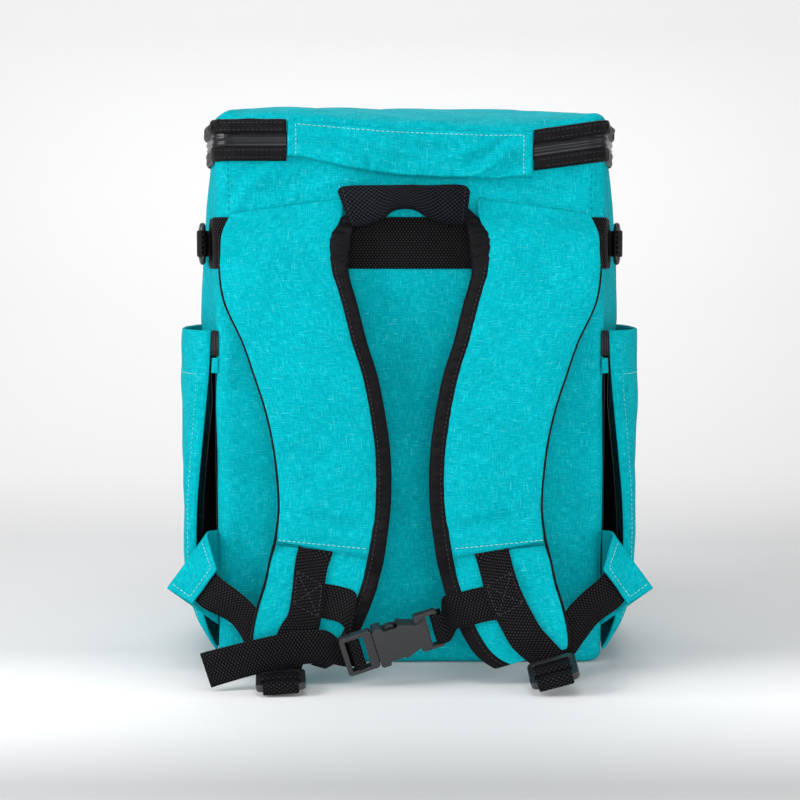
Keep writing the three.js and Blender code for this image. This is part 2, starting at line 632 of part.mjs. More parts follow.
function buildStraps() {
  SIDES.forEach(({ name, sign }) => {
    const thick = (row) => row.thick * STRAP.thickness;
    const padFront = padGrid(PAD_ROWS, sign, PAD_CROWN, (row, full) => (thick(row) * (1 - full)) / 2);
    const padBack = padGrid(PAD_ROWS, sign, PAD_CROWN, (row, full) => (thick(row) * (1 + full)) / 2);
    addMesh(`strap_pad_${name}`, slab(padFront, padBack), "fabric");

    const flat = [1, 1, 1];
    const tailFront = padGrid(TAIL_ROWS, sign, flat, () => TAIL.recess);
    const tailBack = padGrid(TAIL_ROWS, sign, flat, () => TAIL.recess + TAIL.thickness);
    addMesh(`strap_tail_${name}`, slab(tailFront, tailBack), "fabric");

    const handleFoot = 2;
    const rows = [...PAD_ROWS.slice(handleFoot), ...TAIL_ROWS.slice(1)];
    const middle = (row) => strapRow(row, sign).front
      + (row.thick ? thick(row) / 2 : TAIL.recess + TAIL.thickness / 2);
    const edge = (from, to) => {
      const grid = (shift) => rows.map((row) => [from(row), to(row)]
        .map((distance) => strapPoint(row, sign, distance, middle(row) + shift)));
      return slab(grid(-STRAP.bindingThickness / 2), grid(STRAP.bindingThickness / 2));
    };
    addMesh(`strap_inner_binding_${name}`, edge(() => 0, () => STRAP.innerBinding), "blackFabric");
    const width = (row) => strapRow(row, sign).width;
    const outerBinding = edge((row) => width(row) - STRAP.outerBinding, width);
    addMesh(`strap_outer_binding_${name}`, outerBinding, "blackFabric");
  });
}

function buildHandle() {
  const sides = 12;
  const ring = ({ along, out, tall, thick, rise }) => Array.from({ length: sides }, (_, k) => {
    const angle = (2 * Math.PI * k) / sides;
    const up = (Math.sin(angle) * tall * HANDLE.height) / 2;
    const slant = (Math.abs(along) ** 3 * HANDLE.endSlant * up) / (HANDLE.height / 2);
    const middle = -BODY.depth / 2 - BODY.backBulge - out * HANDLE.standoff;
    return vector((along * HANDLE.length) / 2 + Math.sign(along) * slant,
      middle + (Math.cos(angle) * thick * HANDLE.thickness) / 2,
      STRAP.topHeight - HANDLE.belowStrapTop + rise * HANDLE_RISE + up);
  });
  addMesh("carry_handle", loft(HANDLE_ROWS.map(ring)), "mesh");
}

// The body's side face at a distance from its middle, as its skin runs there.
function sideFace(y, height) {
  const flat = BODY.depth / 2 - BODY.cornerRadius;
  const clamped = THREE.MathUtils.clamp(y / flat, -1, 1);
  const dropAtCorner = Math.abs(y) > flat
    ? BODY.cornerRadius - Math.sqrt(Math.max(0, BODY.cornerRadius ** 2 - (Math.abs(y) - flat) ** 2)) : 0;
  return skinPoint(height, 1 + FLAT_SHARE * clamped, 0).x - dropAtCorner;
}

function pocketPoint({ along, out }, { height, out: rowOut, hem }) {
  const y = THREE.MathUtils.lerp(POCKET_BACK, POCKET_FRONT, along);
  const z = height * POCKET.height;
  const hemShare = Math.max(0, 1 - along * 5) * hem;
  const free = BODY.width / 2 + POCKET.projection * (out * rowOut + hemShare);
  return vector(Math.max(free, sideFace(y, z) + CLEAR + FABRIC / 2), y, z);
}

function buildPockets() {
  SIDES.forEach(({ name, sign }) => {
    const mirror = (point) => point.setX(sign * point.x);
    const wall = POCKET_ROWS.map((row) => POCKET_PLAN.map((plan) => mirror(pocketPoint(plan, row))));
    addMesh(`side_pocket_${name}`, sheet(wall, FABRIC), "fabric");

    const top = POCKET.height - 2;
    const levels = POCKET_ROWS.map(({ height }) => height * POCKET.height)
      .filter((z) => z > GUSSET.bottomGap && z < top);
    const folds = [GUSSET.bottomGap, ...levels, top].map((z) => gussetRow(z).map(mirror));
    addMesh(`pocket_gusset_${name}`, sheet(folds, GUSSET.thickness), "blackFabric");

    GUSSET_STRIPS.forEach(({ name: strip, finish, top: topGap, height, reach }) => {
      const levelsOfStrip = [POCKET.height - topGap - height, POCKET.height - topGap];
      const grid = levelsOfStrip.map((z) => stripRow(z, reach).map(mirror));
      addMesh(`${strip}_${name}`, sheet(grid, GUSSET.thickness), finish);
    });
  });
}

const hemAt = (z) => {
  const row = {
    height: z / POCKET.height,
    out: between(POCKET_ROWS, "height", z / POCKET.height, "out"),
    hem: between(POCKET_ROWS, "height", z / POCKET.height, "hem"),
  };
  return pocketPoint(POCKET_PLAN[0], row);
};

// The gusset's fold in plan: along the body's side, then back out to the inside of the hem.
function gussetRow(z) {
  const start = POCKET_BACK + 1;
  const fold = start + GUSSET.foldDepth;
  const nearBody = CLEAR + GUSSET.thickness / 2;
  const hem = hemAt(z);
  const nearHem = hem.x - FABRIC - CLEAR - GUSSET.thickness;
  const bodyEnd = sideFace(fold - 4, z) + nearBody;
  const foldWidth = 2.6;
  return [
    vector(sideFace(start, z) + nearBody, start, z),
    vector(sideFace((start + fold) / 2, z) + nearBody, (start + fold) / 2, z),
    vector(bodyEnd, fold - 4, z),
    vector(bodyEnd + foldWidth / 2, fold, z),
    vector(bodyEnd + foldWidth, fold - 4, z),
    vector(Math.max(nearHem, bodyEnd + foldWidth - 4), start + 4, z),
  ];
}

// A short strip from the body's corner to the pocket's hem, across the mouth of the gusset.
function stripRow(z, reach) {
  const corner = skinPoint(z, WING.seamTurn - 0.03, CLEAR + GUSSET.thickness / 2);
  const hem = hemAt(z);
  const end = vector(hem.x - FABRIC / 2, POCKET_BACK - FABRIC / 2 - CLEAR - GUSSET.thickness, z);
  return [0, 0.5, 1].map((share) => corner.clone().lerp(end, share * reach));
}

function wingCorner(corner, sign) {
  const { out, forward, height } = WING_CORNERS[corner];
  return vector(
    sign * (BODY.width / 2 + out * WING.reachOut),
    -(BODY.depth / 2) - forward * WING.reachForward,
    height * WING.seamTop,
  );
}

function buildWings() {
  SIDES.forEach(({ name, sign }) => {
    const corner = (name) => wingCorner(name, sign);
    const seam = (z) => skinPoint(z, WING.seamTurn, CLEAR + FABRIC / 2).multiply(vector(sign, 1, 1));
    const [foldTop, foldBottom] = [corner("foldTop"), corner("foldBottom")];
    const [frontTop, frontBottom] = [corner("frontTop"), corner("frontBottom")];
    const [seamTop, seamBottom] = [seam(WING.seamTop), seam(WING.seamBottom)];
    const steps = 4;
    const grid = Array.from({ length: steps + 1 }, (_, k) => {
      const share = k / steps;
      const atSeam = seamTop.clone().lerp(seamBottom, share);
      const atFold = foldTop.clone().lerp(foldBottom, share);
      const atFront = frontTop.clone().lerp(frontBottom, share);
      const backLeg = atSeam.clone().sub(atFold);
      const frontLeg = atFront.clone().sub(atFold);
      const backShare = Math.min(0.6, (2.2 * WING.foldRadius) / backLeg.length());
      const frontShare = (2.2 * WING.foldRadius) / frontLeg.length();
      const nearBack = atFold.clone().addScaledVector(backLeg, backShare);
      const nearFront = atFold.clone().addScaledVector(frontLeg, frontShare);
      const bend = nearBack.clone().add(nearFront).multiplyScalar(0.25).addScaledVector(atFold, 0.5);
      return [atSeam, nearBack, bend, nearFront, atFront];
    });
    addMesh(`anchor_wing_${name}`, sheet(grid, FABRIC), "fabric");
  });
}

// A point in front of the back panel, at shares of the half width, the standoff and the straps' top height.
const inFront = ({ across, forward, height }) =>
  vector((across * BODY.width) / 2, -(BODY.depth / 2) - forward * STRAP.standoff, height * STRAP.topHeight);

// Axes of a ladder lock: x across the webbing, y along it to the free end, z out of its face.
function ladderAxes(place) {
  const { pitch, roll, yaw } = place;
  const turn = new THREE.Euler(0, -radians(roll), radians(yaw), "ZYX");
  const across = vector(1, 0, 0).applyEuler(turn);
  const down = vector(0, -Math.cos(radians(pitch)), -Math.sin(radians(pitch)));
  const along = down.addScaledVector(across, -down.dot(across)).normalize();
  const face = vector().crossVectors(along, across).normalize();
  return new THREE.Matrix4().makeBasis(across.clone().negate(), along, face).setPosition(inFront(place));
}

function buildLadderLocks() {
  const [halfWidth, halfLength] = [LADDER_WIDTH / 2, LADDER.length / 2];
  const slot = (LADDER.length - 3 * LADDER.bar) / 2;
  const holes = [-1, 1].map((side) => ({
    left: -halfWidth + LADDER.side,
    right: halfWidth - LADDER.side,
    low: side < 0 ? -LADDER.bar / 2 - slot : LADDER.bar / 2,
    high: side < 0 ? -LADDER.bar / 2 : LADDER.bar / 2 + slot,
  }));
  const outline = roundedRectangle(-halfWidth, halfWidth, -halfLength, halfLength, 5, 3);
  SIDES.forEach(({ name }) => {
    const lock = fromSolid(plate(outline, holes, LADDER.thickness));
    addMesh(`ladder_lock_${name}`, lock, "plastic").applyMatrix4(ladderAxes(LADDER_PLACES[name]));
  });
}

// Webbing's way round the first, middle or last bar of a ladder lock, for which is -1, 0 or 1.
const ladderBar = (which, angles) =>
  roundBar((which * (LADDER.length - LADDER.bar)) / 2, LADDER.bar / 2, LADDER.thickness / 2, angles);

// Stations of webbing in a lock's own axes: how far along it and how far out of its face.
function inLock(axes, pairs) {
  const origin = vector().setFromMatrixPosition(axes);
  const across = vector(1, 0, 0).applyMatrix4(axes).sub(origin);
  return pairs.map(([along, out]) => ({
    at: vector(0, along, out).applyMatrix4(axes),
    across: across.clone(),
  }));
}

// A point on a strap tail's face, at shares of the top height and of the tail's width.
const HEIGHT_ROWS = [...TAIL_ROWS].reverse().map((row) => ({
  ...row,
  height: (row.innerZ + row.outerZ) / 2,
}));
function tailFace(height, sign, place) {
  const row = Object.fromEntries(["innerX", "innerZ", "outerX", "outerZ", "out"]
    .map((column) => [column, between(HEIGHT_ROWS, "height", height, column)]));
  const { width, front } = strapRow(row, sign);
  return strapPoint(row, sign, width * place, front + TAIL.recess);
}

// A station of webbing that lies on a strap's tail. Tilt 0 runs down the strap and tilt 90 across it.
function onTail(height, sign, place, layer, tilt) {
  const lift = (Math.sin(radians(tilt)) * WEBBING.width) / 2 / STRAP.topHeight;
  const reach = (Math.cos(radians(tilt)) * WEBBING.width) / 2 / TAIL.width;
  const low = tailFace(height - lift, sign, place - reach);
  const across = tailFace(height + lift, sign, place + reach).sub(low);
  const up = tailFace(height + 0.02, sign, place).sub(tailFace(height - 0.02, sign, place));
  const normal = vector(0, -up.z, up.y).normalize();
  return { at: tailFace(height, sign, place).addScaledVector(normal, layer), across: across.normalize() };
}

// Webbing from under the pad's hem, down the tail, behind the lock's first bar and over its middle bar.
function buildShoulderWebbing() {
  SIDES.forEach(({ name, sign }) => {
    const axes = ladderAxes(LADDER_PLACES[name]);
    const low = CLEAR * 2 + TAPE / 2;
    const overSternum = low + TAPE + CLEAR;
    const tilt = 20;
    const path = [[0.252, 0.5, low], [0.232, 0.5, low + 0.3], [0.21, 0.51, overSternum + 0.2],
      [0.168, 0.52, overSternum], [0.125, 0.54, overSternum], [0.095, 0.57, overSternum + 1]];
    const onStrap = path.map(([height, place, layer]) => onTail(height, sign, place, layer, tilt));
    const behindEdge = [-LADDER.length / 2 - 3, -LADDER.thickness / 2 - 2.2];
    const stations = inLock(axes, [behindEdge, ...ladderBar(-1, [-90, -45]),
      ...ladderBar(0, [180, 135, 90, 45, 0])]);
    turnAlike(stations, onStrap[0].across);
    const webbing = strapAlong([...onStrap, ...stations], WEBBING.width, TAPE);
    addMesh(`shoulder_webbing_${name}`, webbing, "webbing");
  });
}

// Widths that point the same way, so that webbing doesn't turn over between two stations.
function turnAlike(stations, across) {
  stations.forEach((station) => station.across.multiplyScalar(Math.sign(across.x * station.across.x)));
}

// Webbing from inside the wing's fold, behind the strap, under the lock and round its last bar.
function buildAnchorWebbing() {
  SIDES.forEach(({ name, sign }) => {
    const axes = ladderAxes(LADDER_PLACES[name]);
    const [frontTop, frontBottom] = [wingCorner("frontTop", sign), wingCorner("frontBottom", sign)];
    const edge = frontBottom.clone().sub(frontTop).normalize();
    const middle = frontTop.clone().lerp(frontBottom, 0.5);
    const fold = wingCorner("foldTop", sign).lerp(wingCorner("foldBottom", sign), 0.5);
    const inward = fold.sub(middle).normalize();
    const behind = vector(0, 1, 0).addScaledVector(inward, -inward.y).normalize();
    const layer = FABRIC / 2 + 3 * CLEAR + TAPE / 2;
    const first = middle.clone().addScaledVector(inward, 8).addScaledVector(behind, layer);
    const leaving = middle.clone().addScaledVector(inward, -3).addScaledVector(behind, layer);
    const low = -LADDER.thickness / 2 - 2 * (TAPE + CLEAR);
    const stations = inLock(axes, [[-LADDER.length / 2 - 4, low - 2.4], [-LADDER.length / 4, low],
      ...ladderBar(1, [-90, -45, 0, 45, 90, 135]), [LADDER.length / 4, LADDER.thickness * 0.3]]);
    turnAlike(stations, edge);
    const approach = stations[0];
    const behindStrap = leaving.clone().lerp(approach.at, 0.45).add(vector(0, 6, -1));
    const path = [{ at: first, across: edge }, { at: leaving, across: edge },
      { at: behindStrap, across: edge.clone().lerp(approach.across, 0.4).normalize() }, ...stations];
    addMesh(`anchor_webbing_${name}`, strapAlong(path, WEBBING.width, TAPE), "webbing");
  });
}

// Axes of the buckle: x along it to the right, y across it, z out of its face.
function buckleAxes() {
  const along = vector(Math.cos(radians(BUCKLE.rise)), Math.sin(radians(BUCKLE.turn)),
    Math.sin(radians(BUCKLE.rise))).normalize();
  const down = vector(0, -Math.cos(radians(BUCKLE.lean)), -Math.sin(radians(BUCKLE.lean)));
  const face = down.addScaledVector(along, -down.dot(along)).normalize();
  const across = vector().crossVectors(face, along);
  return new THREE.Matrix4().makeBasis(along, across, face).setPosition(inFront(BUCKLE));
}

const SOCKET_START = -BUCKLE.socketBefore * BUCKLE.socketLength;
const SOCKET_END = SOCKET_START + BUCKLE.socketLength;
const PLUG_END = SOCKET_START - BUCKLE.play - BUCKLE.plugLength;

// Both sides of an outline from a table of shares.
function buckleOutline(rows, trim = 0) {
  const half = rows.map((row) => [SOCKET_START + row.along * BUCKLE.socketLength,
    (row.half * BUCKLE_WIDTH) / 2 - trim]);
  return [...half, ...half.map(([x, y]) => [x, -y]).reverse()].reverse();
}

const webbingSlot = (left, length) => ({ left, right: left + length,
  low: -WEBBING.width / 2 - WEBBING.slotPlay, high: WEBBING.width / 2 + WEBBING.slotPlay });

function buildBuckle() {
  const half = BUCKLE_WIDTH / 2;
  const mouthHeight = BUCKLE.plugThickness + 2 * BUCKLE.play;
  const body = plate(buckleOutline(SOCKET_ROWS), [], mouthHeight + 2 * BUCKLE.wall);
  const loopStart = SOCKET_START + 0.64 * BUCKLE.socketLength;
  const loopSlot = webbingSlot(SOCKET_END - BUCKLE.loopBar - BUCKLE.loopSlot, BUCKLE.loopSlot);
  const loop = plate(roundedRectangle(loopStart, SOCKET_END, -half + 0.5, half - 0.5, 2.5, 3), [loopSlot],
    BUCKLE.loopThickness);
  const mouthEnd = SOCKET_START + SOCKET_MOUTH.depth * BUCKLE.socketLength;
  const mouthHalf = SOCKET_MOUTH.half * half;
  const mouth = plate([[SOCKET_START - 1, -mouthHalf], [mouthEnd, -mouthHalf], [mouthEnd, mouthHalf],
    [SOCKET_START - 1, mouthHalf]], [], mouthHeight);
  const axes = buckleAxes();
  addMesh("buckle_socket", fromSolid(body.add(loop).subtract(mouth)), "plastic").applyMatrix4(axes);

  const { plugBar, plugSlot, plugThickness } = BUCKLE;
  const arms = plate(buckleOutline(ARM_ROWS), [], plugThickness - BUCKLE.play);
  const slots = [0, 1].map((k) => webbingSlot(PLUG_END + plugBar + k * (plugBar + plugSlot), plugSlot));
  const frameEnd = SOCKET_START - BUCKLE.play;
  const frame = plate(roundedRectangle(PLUG_END, frameEnd, -half, half, 2.5, 3), slots, plugThickness);
  addMesh("buckle_plug", fromSolid(frame.add(arms)), "plastic").applyMatrix4(axes);
}

// Both ends of the webbing across the chest. Each starts in a box of stitches under the shoulder webbing.
function buildSternumWebbing() {
  const axes = buckleAxes();
  const flat = CLEAR * 2 + TAPE / 2;
  const boxHeight = 0.168;
  const origin = vector().setFromMatrixPosition(axes);
  const inBuckle = (pairs) => pairs.map(([along, out]) => ({
    at: vector(along, 0, out).applyMatrix4(axes),
    across: vector(0, 1, 0).applyMatrix4(axes).sub(origin),
  }));

  const bar = SOCKET_END - BUCKLE.loopBar / 2;
  const layer = BUCKLE.loopThickness / 2;
  const round = inBuckle([[bar + 5, -layer - 1.4], ...roundBar(bar, BUCKLE.loopBar / 2, layer,
    [-90, -135, 180, 135, 90]), [bar + 4, layer + 1.6]]);
  const rightBox = [[0.155, -0.02, flat + 3], [0.16, 0.12, flat + 1], [0.166, 0.3, flat], [0.168, 0.62, flat]]
    .map(([height, place, layer]) => onTail(height, 1, place, layer, 90));
  addMesh("sternum_webbing_right", strapAlong([...round, ...rightBox], WEBBING.width, TAPE), "webbing");

  const leftBox = [[boxHeight, 0.62, flat], [boxHeight, 0.32, flat], [0.157, 0.17, flat + 2.3]]
    .map(([height, place, layer]) => onTail(height, -1, place, layer, 90));
  const { plugBar, plugSlot, plugThickness } = BUCKLE;
  const live = -plugThickness / 2 - 2 * (TAPE + CLEAR);
  const endBar = PLUG_END + plugBar / 2;
  const middleBar = endBar + plugBar + plugSlot;
  const plugWay = (centre, angles) => roundBar(centre, plugBar / 2, plugThickness / 2, angles);
  const threaded = inBuckle([[middleBar - 1, live], ...plugWay(middleBar, [-45, 0, 45, 90, 135]),
    ...plugWay(endBar, [-45, -90])]);
  const tail = STERNUM_TAIL_ROWS.map((row) => ({ at: inFront(row), across: vector(row.lean, -row.back, 1) }));
  const leftWebbing = strapAlong([...leftBox, ...threaded, ...tail], WEBBING.width, TAPE);
  addMesh("sternum_webbing_left", leftWebbing, "webbing");

  const end = tail[tail.length - 1];
  const alongTail = tail[2].at.clone().sub(end.at).normalize();
  const behind = vector(0, TAPE + CLEAR, 0);
  const foldEnd = end.at.clone().addScaledVector(alongTail, STERNUM_TAIL.foldLength).add(behind);
  addMesh("sternum_tail_fold", strapAlong([{ at: end.at.clone().add(behind), across: end.across },
    { at: foldEnd, across: end.across }], WEBBING.width, TAPE), "webbing");
}

buildTub();
buildLid();
buildClosure();
buildHinge();
buildLoadWebbing();
buildRings();
buildStraps();
buildHandle();
buildPockets();
buildWings();
buildLadderLocks();
buildShoulderWebbing();
buildAnchorWebbing();
buildBuckle();
buildSternumWebbing();

export default model;
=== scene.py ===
"""A teal soft cooler backpack, seen from its straps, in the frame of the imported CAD.

Lengths in the tables are millimetres or shares, as in the CAD, and meshes are made in metres. +X is to the right of
someone who looks at the straps, -Y towards them and +Z up. The origin is the centre of the flat base.
"""

import json
import logging
import math
from dataclasses import dataclass, field
from enum import Enum

import bmesh
import bpy
import numpy as np
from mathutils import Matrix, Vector


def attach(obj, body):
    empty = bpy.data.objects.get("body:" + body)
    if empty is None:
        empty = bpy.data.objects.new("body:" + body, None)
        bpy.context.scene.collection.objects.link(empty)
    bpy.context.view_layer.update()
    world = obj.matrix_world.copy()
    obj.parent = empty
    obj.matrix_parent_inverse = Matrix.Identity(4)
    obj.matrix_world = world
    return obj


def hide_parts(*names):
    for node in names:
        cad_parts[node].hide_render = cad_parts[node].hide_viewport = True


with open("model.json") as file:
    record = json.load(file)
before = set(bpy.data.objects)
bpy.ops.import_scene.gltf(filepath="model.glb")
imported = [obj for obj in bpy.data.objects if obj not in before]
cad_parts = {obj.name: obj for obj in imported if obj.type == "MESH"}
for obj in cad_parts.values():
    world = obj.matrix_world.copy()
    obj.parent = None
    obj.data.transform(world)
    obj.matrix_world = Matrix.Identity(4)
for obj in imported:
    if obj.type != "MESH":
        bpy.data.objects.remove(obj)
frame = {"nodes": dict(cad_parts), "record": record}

LOG = logging.getLogger("cooler")
MM = 0.001
TOWARDS_CAMERA = (0, -1, 0)
NOISE_WAVES = 9


class Slot(Enum):
    """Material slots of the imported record."""

    TEAL = "teal_fabric"
    BLACK = "black_fabric"
    ZIP = "zip_coating"
    WEBBING = "webbing"
    MESH = "spacer_mesh"
    PLASTIC = "moulded_plastic"


class Side(Enum):
    """Left and right of someone who looks at the straps."""

    LEFT = -1
    RIGHT = 1

    @property
    def word(self) -> str:
        """The side's name as it stands in node names."""
        return self.name.lower()


def smoothstep(value: np.ndarray, low: float, high: float) -> np.ndarray:
    """Zero below low, one above high, and a smooth S between them.

    Args:
        value: Places to read.
        low: Where the step starts.
        high: Where it ends.

    Returns:
        3t² − 2t³, where t is how far the value is from low to high.
    """
    share = np.clip((np.asarray(value, float) - low) / (high - low), 0, 1)
    return share * share * (3 - 2 * share)


def column(rows: np.ndarray, value: np.ndarray, index: int) -> np.ndarray:
    """A table's column between its rows, straight from row to row.

    Args:
        rows: The table, with rising keys in its first column.
        value: Keys to look up.
        index: Which column to read.
    """
    return np.interp(value, rows[:, 0], rows[:, index])


def smooth_path(points: np.ndarray, count: int) -> np.ndarray:
    """A Catmull-Rom curve through points, sampled evenly along its own length.

    Between two points the curve is the cubic whose ends have the slopes of the chords of their neighbours. Its knots
    are apart by the square root of the chord's length.

    Args:
        points: Points of any dimension to pass through, one a row.
        count: How many points to return.
    """
    points = np.asarray(points, float)
    if len(points) == 2:
        return points[0] + (points[1] - points[0]) * np.linspace(0, 1, count)[:, None]
    chords = np.linalg.norm(np.diff(points[:, :3], axis=0), axis=1)
    knots = np.concatenate([[0], np.cumsum(np.maximum(chords, 1e-6) ** 0.5)])
    slopes = np.gradient(points, knots, axis=0, edge_order=2)
    fine = np.linspace(0, knots[-1], 24 * len(points))
    place = np.clip(np.searchsorted(knots, fine, side="right") - 1, 0, len(points) - 2)
    gap = (knots[place + 1] - knots[place])[:, None]
    t = (fine[:, None] - knots[place][:, None]) / gap
    curve = ((2 * t**3 - 3 * t**2 + 1) * points[place] + (t**3 - 2 * t**2 + t) * gap * slopes[place]
             + (3 * t**2 - 2 * t**3) * points[place + 1] + (t**3 - t**2) * gap * slopes[place + 1])
    return evenly(curve, count)


def evenly(curve: np.ndarray, count: int) -> np.ndarray:
    """A curve's points spaced evenly along it. The first three columns are its place.

    Args:
        curve: Points along the curve.
        count: How many points to return.
    """
    length = path_length(curve[:, :3])
    wanted = np.linspace(0, length[-1], count)
    return np.stack([np.interp(wanted, length, curve[:, k]) for k in range(curve.shape[1])], axis=1)


def unit(vectors: np.ndarray) -> np.ndarray:
    """Vectors of length one in the same directions."""
    return vectors / np.maximum(np.linalg.norm(vectors, axis=-1, keepdims=True), 1e-9)


def path_length(points: np.ndarray) -> np.ndarray:
    """Length along a line of points, from its start to each of them."""
    return np.concatenate([[0], np.cumsum(np.linalg.norm(np.diff(points, axis=0), axis=1))])


def signed_power(value: np.ndarray, power: float) -> np.ndarray:
    """A power of a value's size, with the value's sign."""
    return np.sign(value) * np.abs(value) ** power


def uv_table(u: np.ndarray, v: np.ndarray) -> np.ndarray:
    """Texture coordinates in metres from two tables of millimetres that broadcast together."""
    return np.stack(np.broadcast_arrays(u, v), axis=2) * MM


def xyz(x: np.ndarray, y: np.ndarray, z: np.ndarray) -> np.ndarray:
    """Points from three tables of coordinates that broadcast together."""
    return np.stack(np.broadcast_arrays(x, y, z), axis=-1)


def soft_noise(across: np.ndarray, along: np.ndarray, seed: int) -> np.ndarray:
    """A smooth random field from −1 to 1, the mean of sine waves with random directions and phases.

    Args:
        across: First coordinate, in wavelengths.
        along: Second coordinate, in wavelengths.
        seed: Which random field.
    """
    random = np.random.default_rng(seed)
    angle, phase = random.uniform(0, 2 * np.pi, (2, NOISE_WAVES))
    length = random.uniform(0.7, 1.5, NOISE_WAVES)
    total = sum(np.sin(2 * np.pi * length[k] * (across * np.cos(angle[k]) + along * np.sin(angle[k])) + phase[k])
                for k in range(NOISE_WAVES))
    return total / math.sqrt(NOISE_WAVES) / 1.4


def fold(x: np.ndarray, z: np.ndarray, start: tuple, end: tuple, width: float, height: float) -> np.ndarray:
    """A soft wrinkle along a line: a bell across the line that fades out at both of its ends.

    Args:
        x: First coordinate of the places.
        z: Second coordinate of the places.
        start: Where the wrinkle starts.
        end: Where it ends.
        width: Half its width, at six tenths of its height.
        height: Its height, or depth if negative.
    """
    (x0, z0), (x1, z1) = start, end
    length = math.hypot(x1 - x0, z1 - z0)
    ux, uz = (x1 - x0) / length, (z1 - z0) / length
    along = ((x - x0) * ux + (z - z0) * uz) / length
    across = (-(x - x0) * uz + (z - z0) * ux) / width
    ends = smoothstep(along, -0.12, 0.3) * (1 - smoothstep(along, 0.7, 1.12))
    return height * np.exp(-0.5 * across**2) * ends


def finish_mesh(obj: bpy.types.Object, sharp: float) -> None:
    """Shades an object smooth, except where its faces meet at more than the angle sharp, in degrees."""
    obj.data.shade_smooth()
    if sharp < 180:
        obj.data.set_sharp_from_angle(angle=math.radians(sharp))


def weld(obj: bpy.types.Object) -> None:
    """Joins vertices in the same place, where a loft comes back to its start."""
    work = bmesh.new()
    work.from_mesh(obj.data)
    bmesh.ops.remove_doubles(work, verts=work.verts, dist=1e-6)
    work.to_mesh(obj.data)
    work.free()


def make_object(name: str, points: np.ndarray, faces: list, uvs: np.ndarray, sharp: float) -> bpy.types.Object:
    """An object from points in millimetres, with its texture coordinates in metres.

    Args:
        name: The object's name.
        points: Its vertices, one a row.
        faces: Arrays of vertex numbers, each with one face a row.
        uvs: Texture coordinates of all corners, in the order of the faces.
        sharp: Angle between faces that stays a sharp edge, in degrees.
    """
    mesh = bpy.data.meshes.new(name)
    sizes = np.concatenate([np.full(len(f), f.shape[1]) for f in faces])
    corners = np.concatenate([f.ravel() for f in faces]).astype(np.int32)
    mesh.vertices.add(len(points))
    mesh.vertices.foreach_set("co", (np.asarray(points, float) * MM).astype(np.float32).ravel())
    mesh.loops.add(len(corners))
    mesh.loops.foreach_set("vertex_index", corners)
    mesh.polygons.add(len(sizes))
    mesh.polygons.foreach_set("loop_start", np.concatenate([[0], np.cumsum(sizes)[:-1]]).astype(np.int32))
    mesh.uv_layers.new(name="cloth")
    mesh.uv_layers["cloth"].data.foreach_set("uv", np.asarray(uvs, np.float32).ravel())
    mesh.update(calc_edges=True)
    mesh.validate()
    obj = bpy.data.objects.new(name, mesh)
    bpy.context.scene.collection.objects.link(obj)
    finish_mesh(obj, sharp)
    return obj


def signed_volume(points: np.ndarray, faces: list) -> float:
    """Volume inside closed faces, negative where they face inwards."""
    total = 0.0
    for f in faces:
        for k in range(1, f.shape[1] - 1):
            a, b, c = points[f[:, 0]], points[f[:, k]], points[f[:, k + 1]]
            total += float(np.einsum("ij,ij->", a, np.cross(b, c)))
    return total


def grid_faces(rows: int, columns: int, wrap: bool) -> tuple[np.ndarray, np.ndarray]:
    """Quads of a grid, and the places of their corners in a table of texture coordinates.

    Args:
        rows: Rows of points.
        columns: Points in a row.
        wrap: Whether a row closes on itself. The texture table then has one column more.
    """
    spans = columns if wrap else columns - 1
    i, j = np.meshgrid(np.arange(rows - 1), np.arange(spans), indexing="ij")
    i, j = i.ravel(), j.ravel()
    wide = columns + 1 if wrap else columns

    def corners(width: int, following: np.ndarray) -> np.ndarray:
        """Numbers of each quad's corners in a table so wide, where a column has another one following."""
        low, high = i * width, (i + 1) * width
        return np.stack([low + j, low + following, high + following, high + j], axis=1)

    return corners(columns, (j + 1) % columns), corners(wide, j + 1)


def loft(name: str, rings: np.ndarray, caps: str = "fan", sharp: float = 60,
         uv: np.ndarray | None = None) -> bpy.types.Object:
    """A closed solid through rings of as many points, in millimetres.

    Args:
        name: The object's name.
        rings: Rings of points, as rings by points by three.
        caps: How both ends close: a fan to their centre, a strip between opposite points, or none.
        sharp: Angle between faces that stays sharp, in degrees.
        uv: Texture coordinates in metres, with one point more in each ring than in rings.
    """
    count, size = rings.shape[:2]
    uv = ring_uv(rings) if uv is None else uv
    points = rings.reshape(-1, 3)
    quads, texture = grid_faces(count, size, True)
    faces, uvs = [quads], [uv.reshape(-1, 2)[texture].reshape(-1, 2)]
    for ring in () if caps == "none" else (0, count - 1):
        first = ring * size
        if caps == "fan":
            j, centre = np.arange(size), np.full(size, len(points))
            points = np.vstack([points, rings[ring].mean(axis=0)])
            middle = np.tile(uv[ring, :-1].mean(axis=0), (size, 1))
            cap = np.stack([centre, first + (j + 1) % size, first + j], axis=1)
            corner = np.stack([middle, uv[ring, 1:], uv[ring, :-1]], axis=1)
            turned = [0, 2, 1]
        else:
            j = np.arange(size // 2 - 1)
            cap = first + np.stack([size - 1 - j, size - 2 - j, j + 1, j], axis=1)
            corner = uv[ring, :-1][cap - first]
            turned = [3, 2, 1, 0]
        faces.append(cap[:, turned] if ring else cap)
        uvs.append((corner[:, turned] if ring else corner).reshape(-1, 2))
    if signed_volume(points, faces) < 0:
        uvs = [part.reshape(-1, f.shape[1], 2)[:, ::-1].reshape(-1, 2) for part, f in zip(uvs, faces)]
        faces = [f[:, ::-1] for f in faces]
    return make_object(name, points, faces, np.concatenate(uvs), sharp)


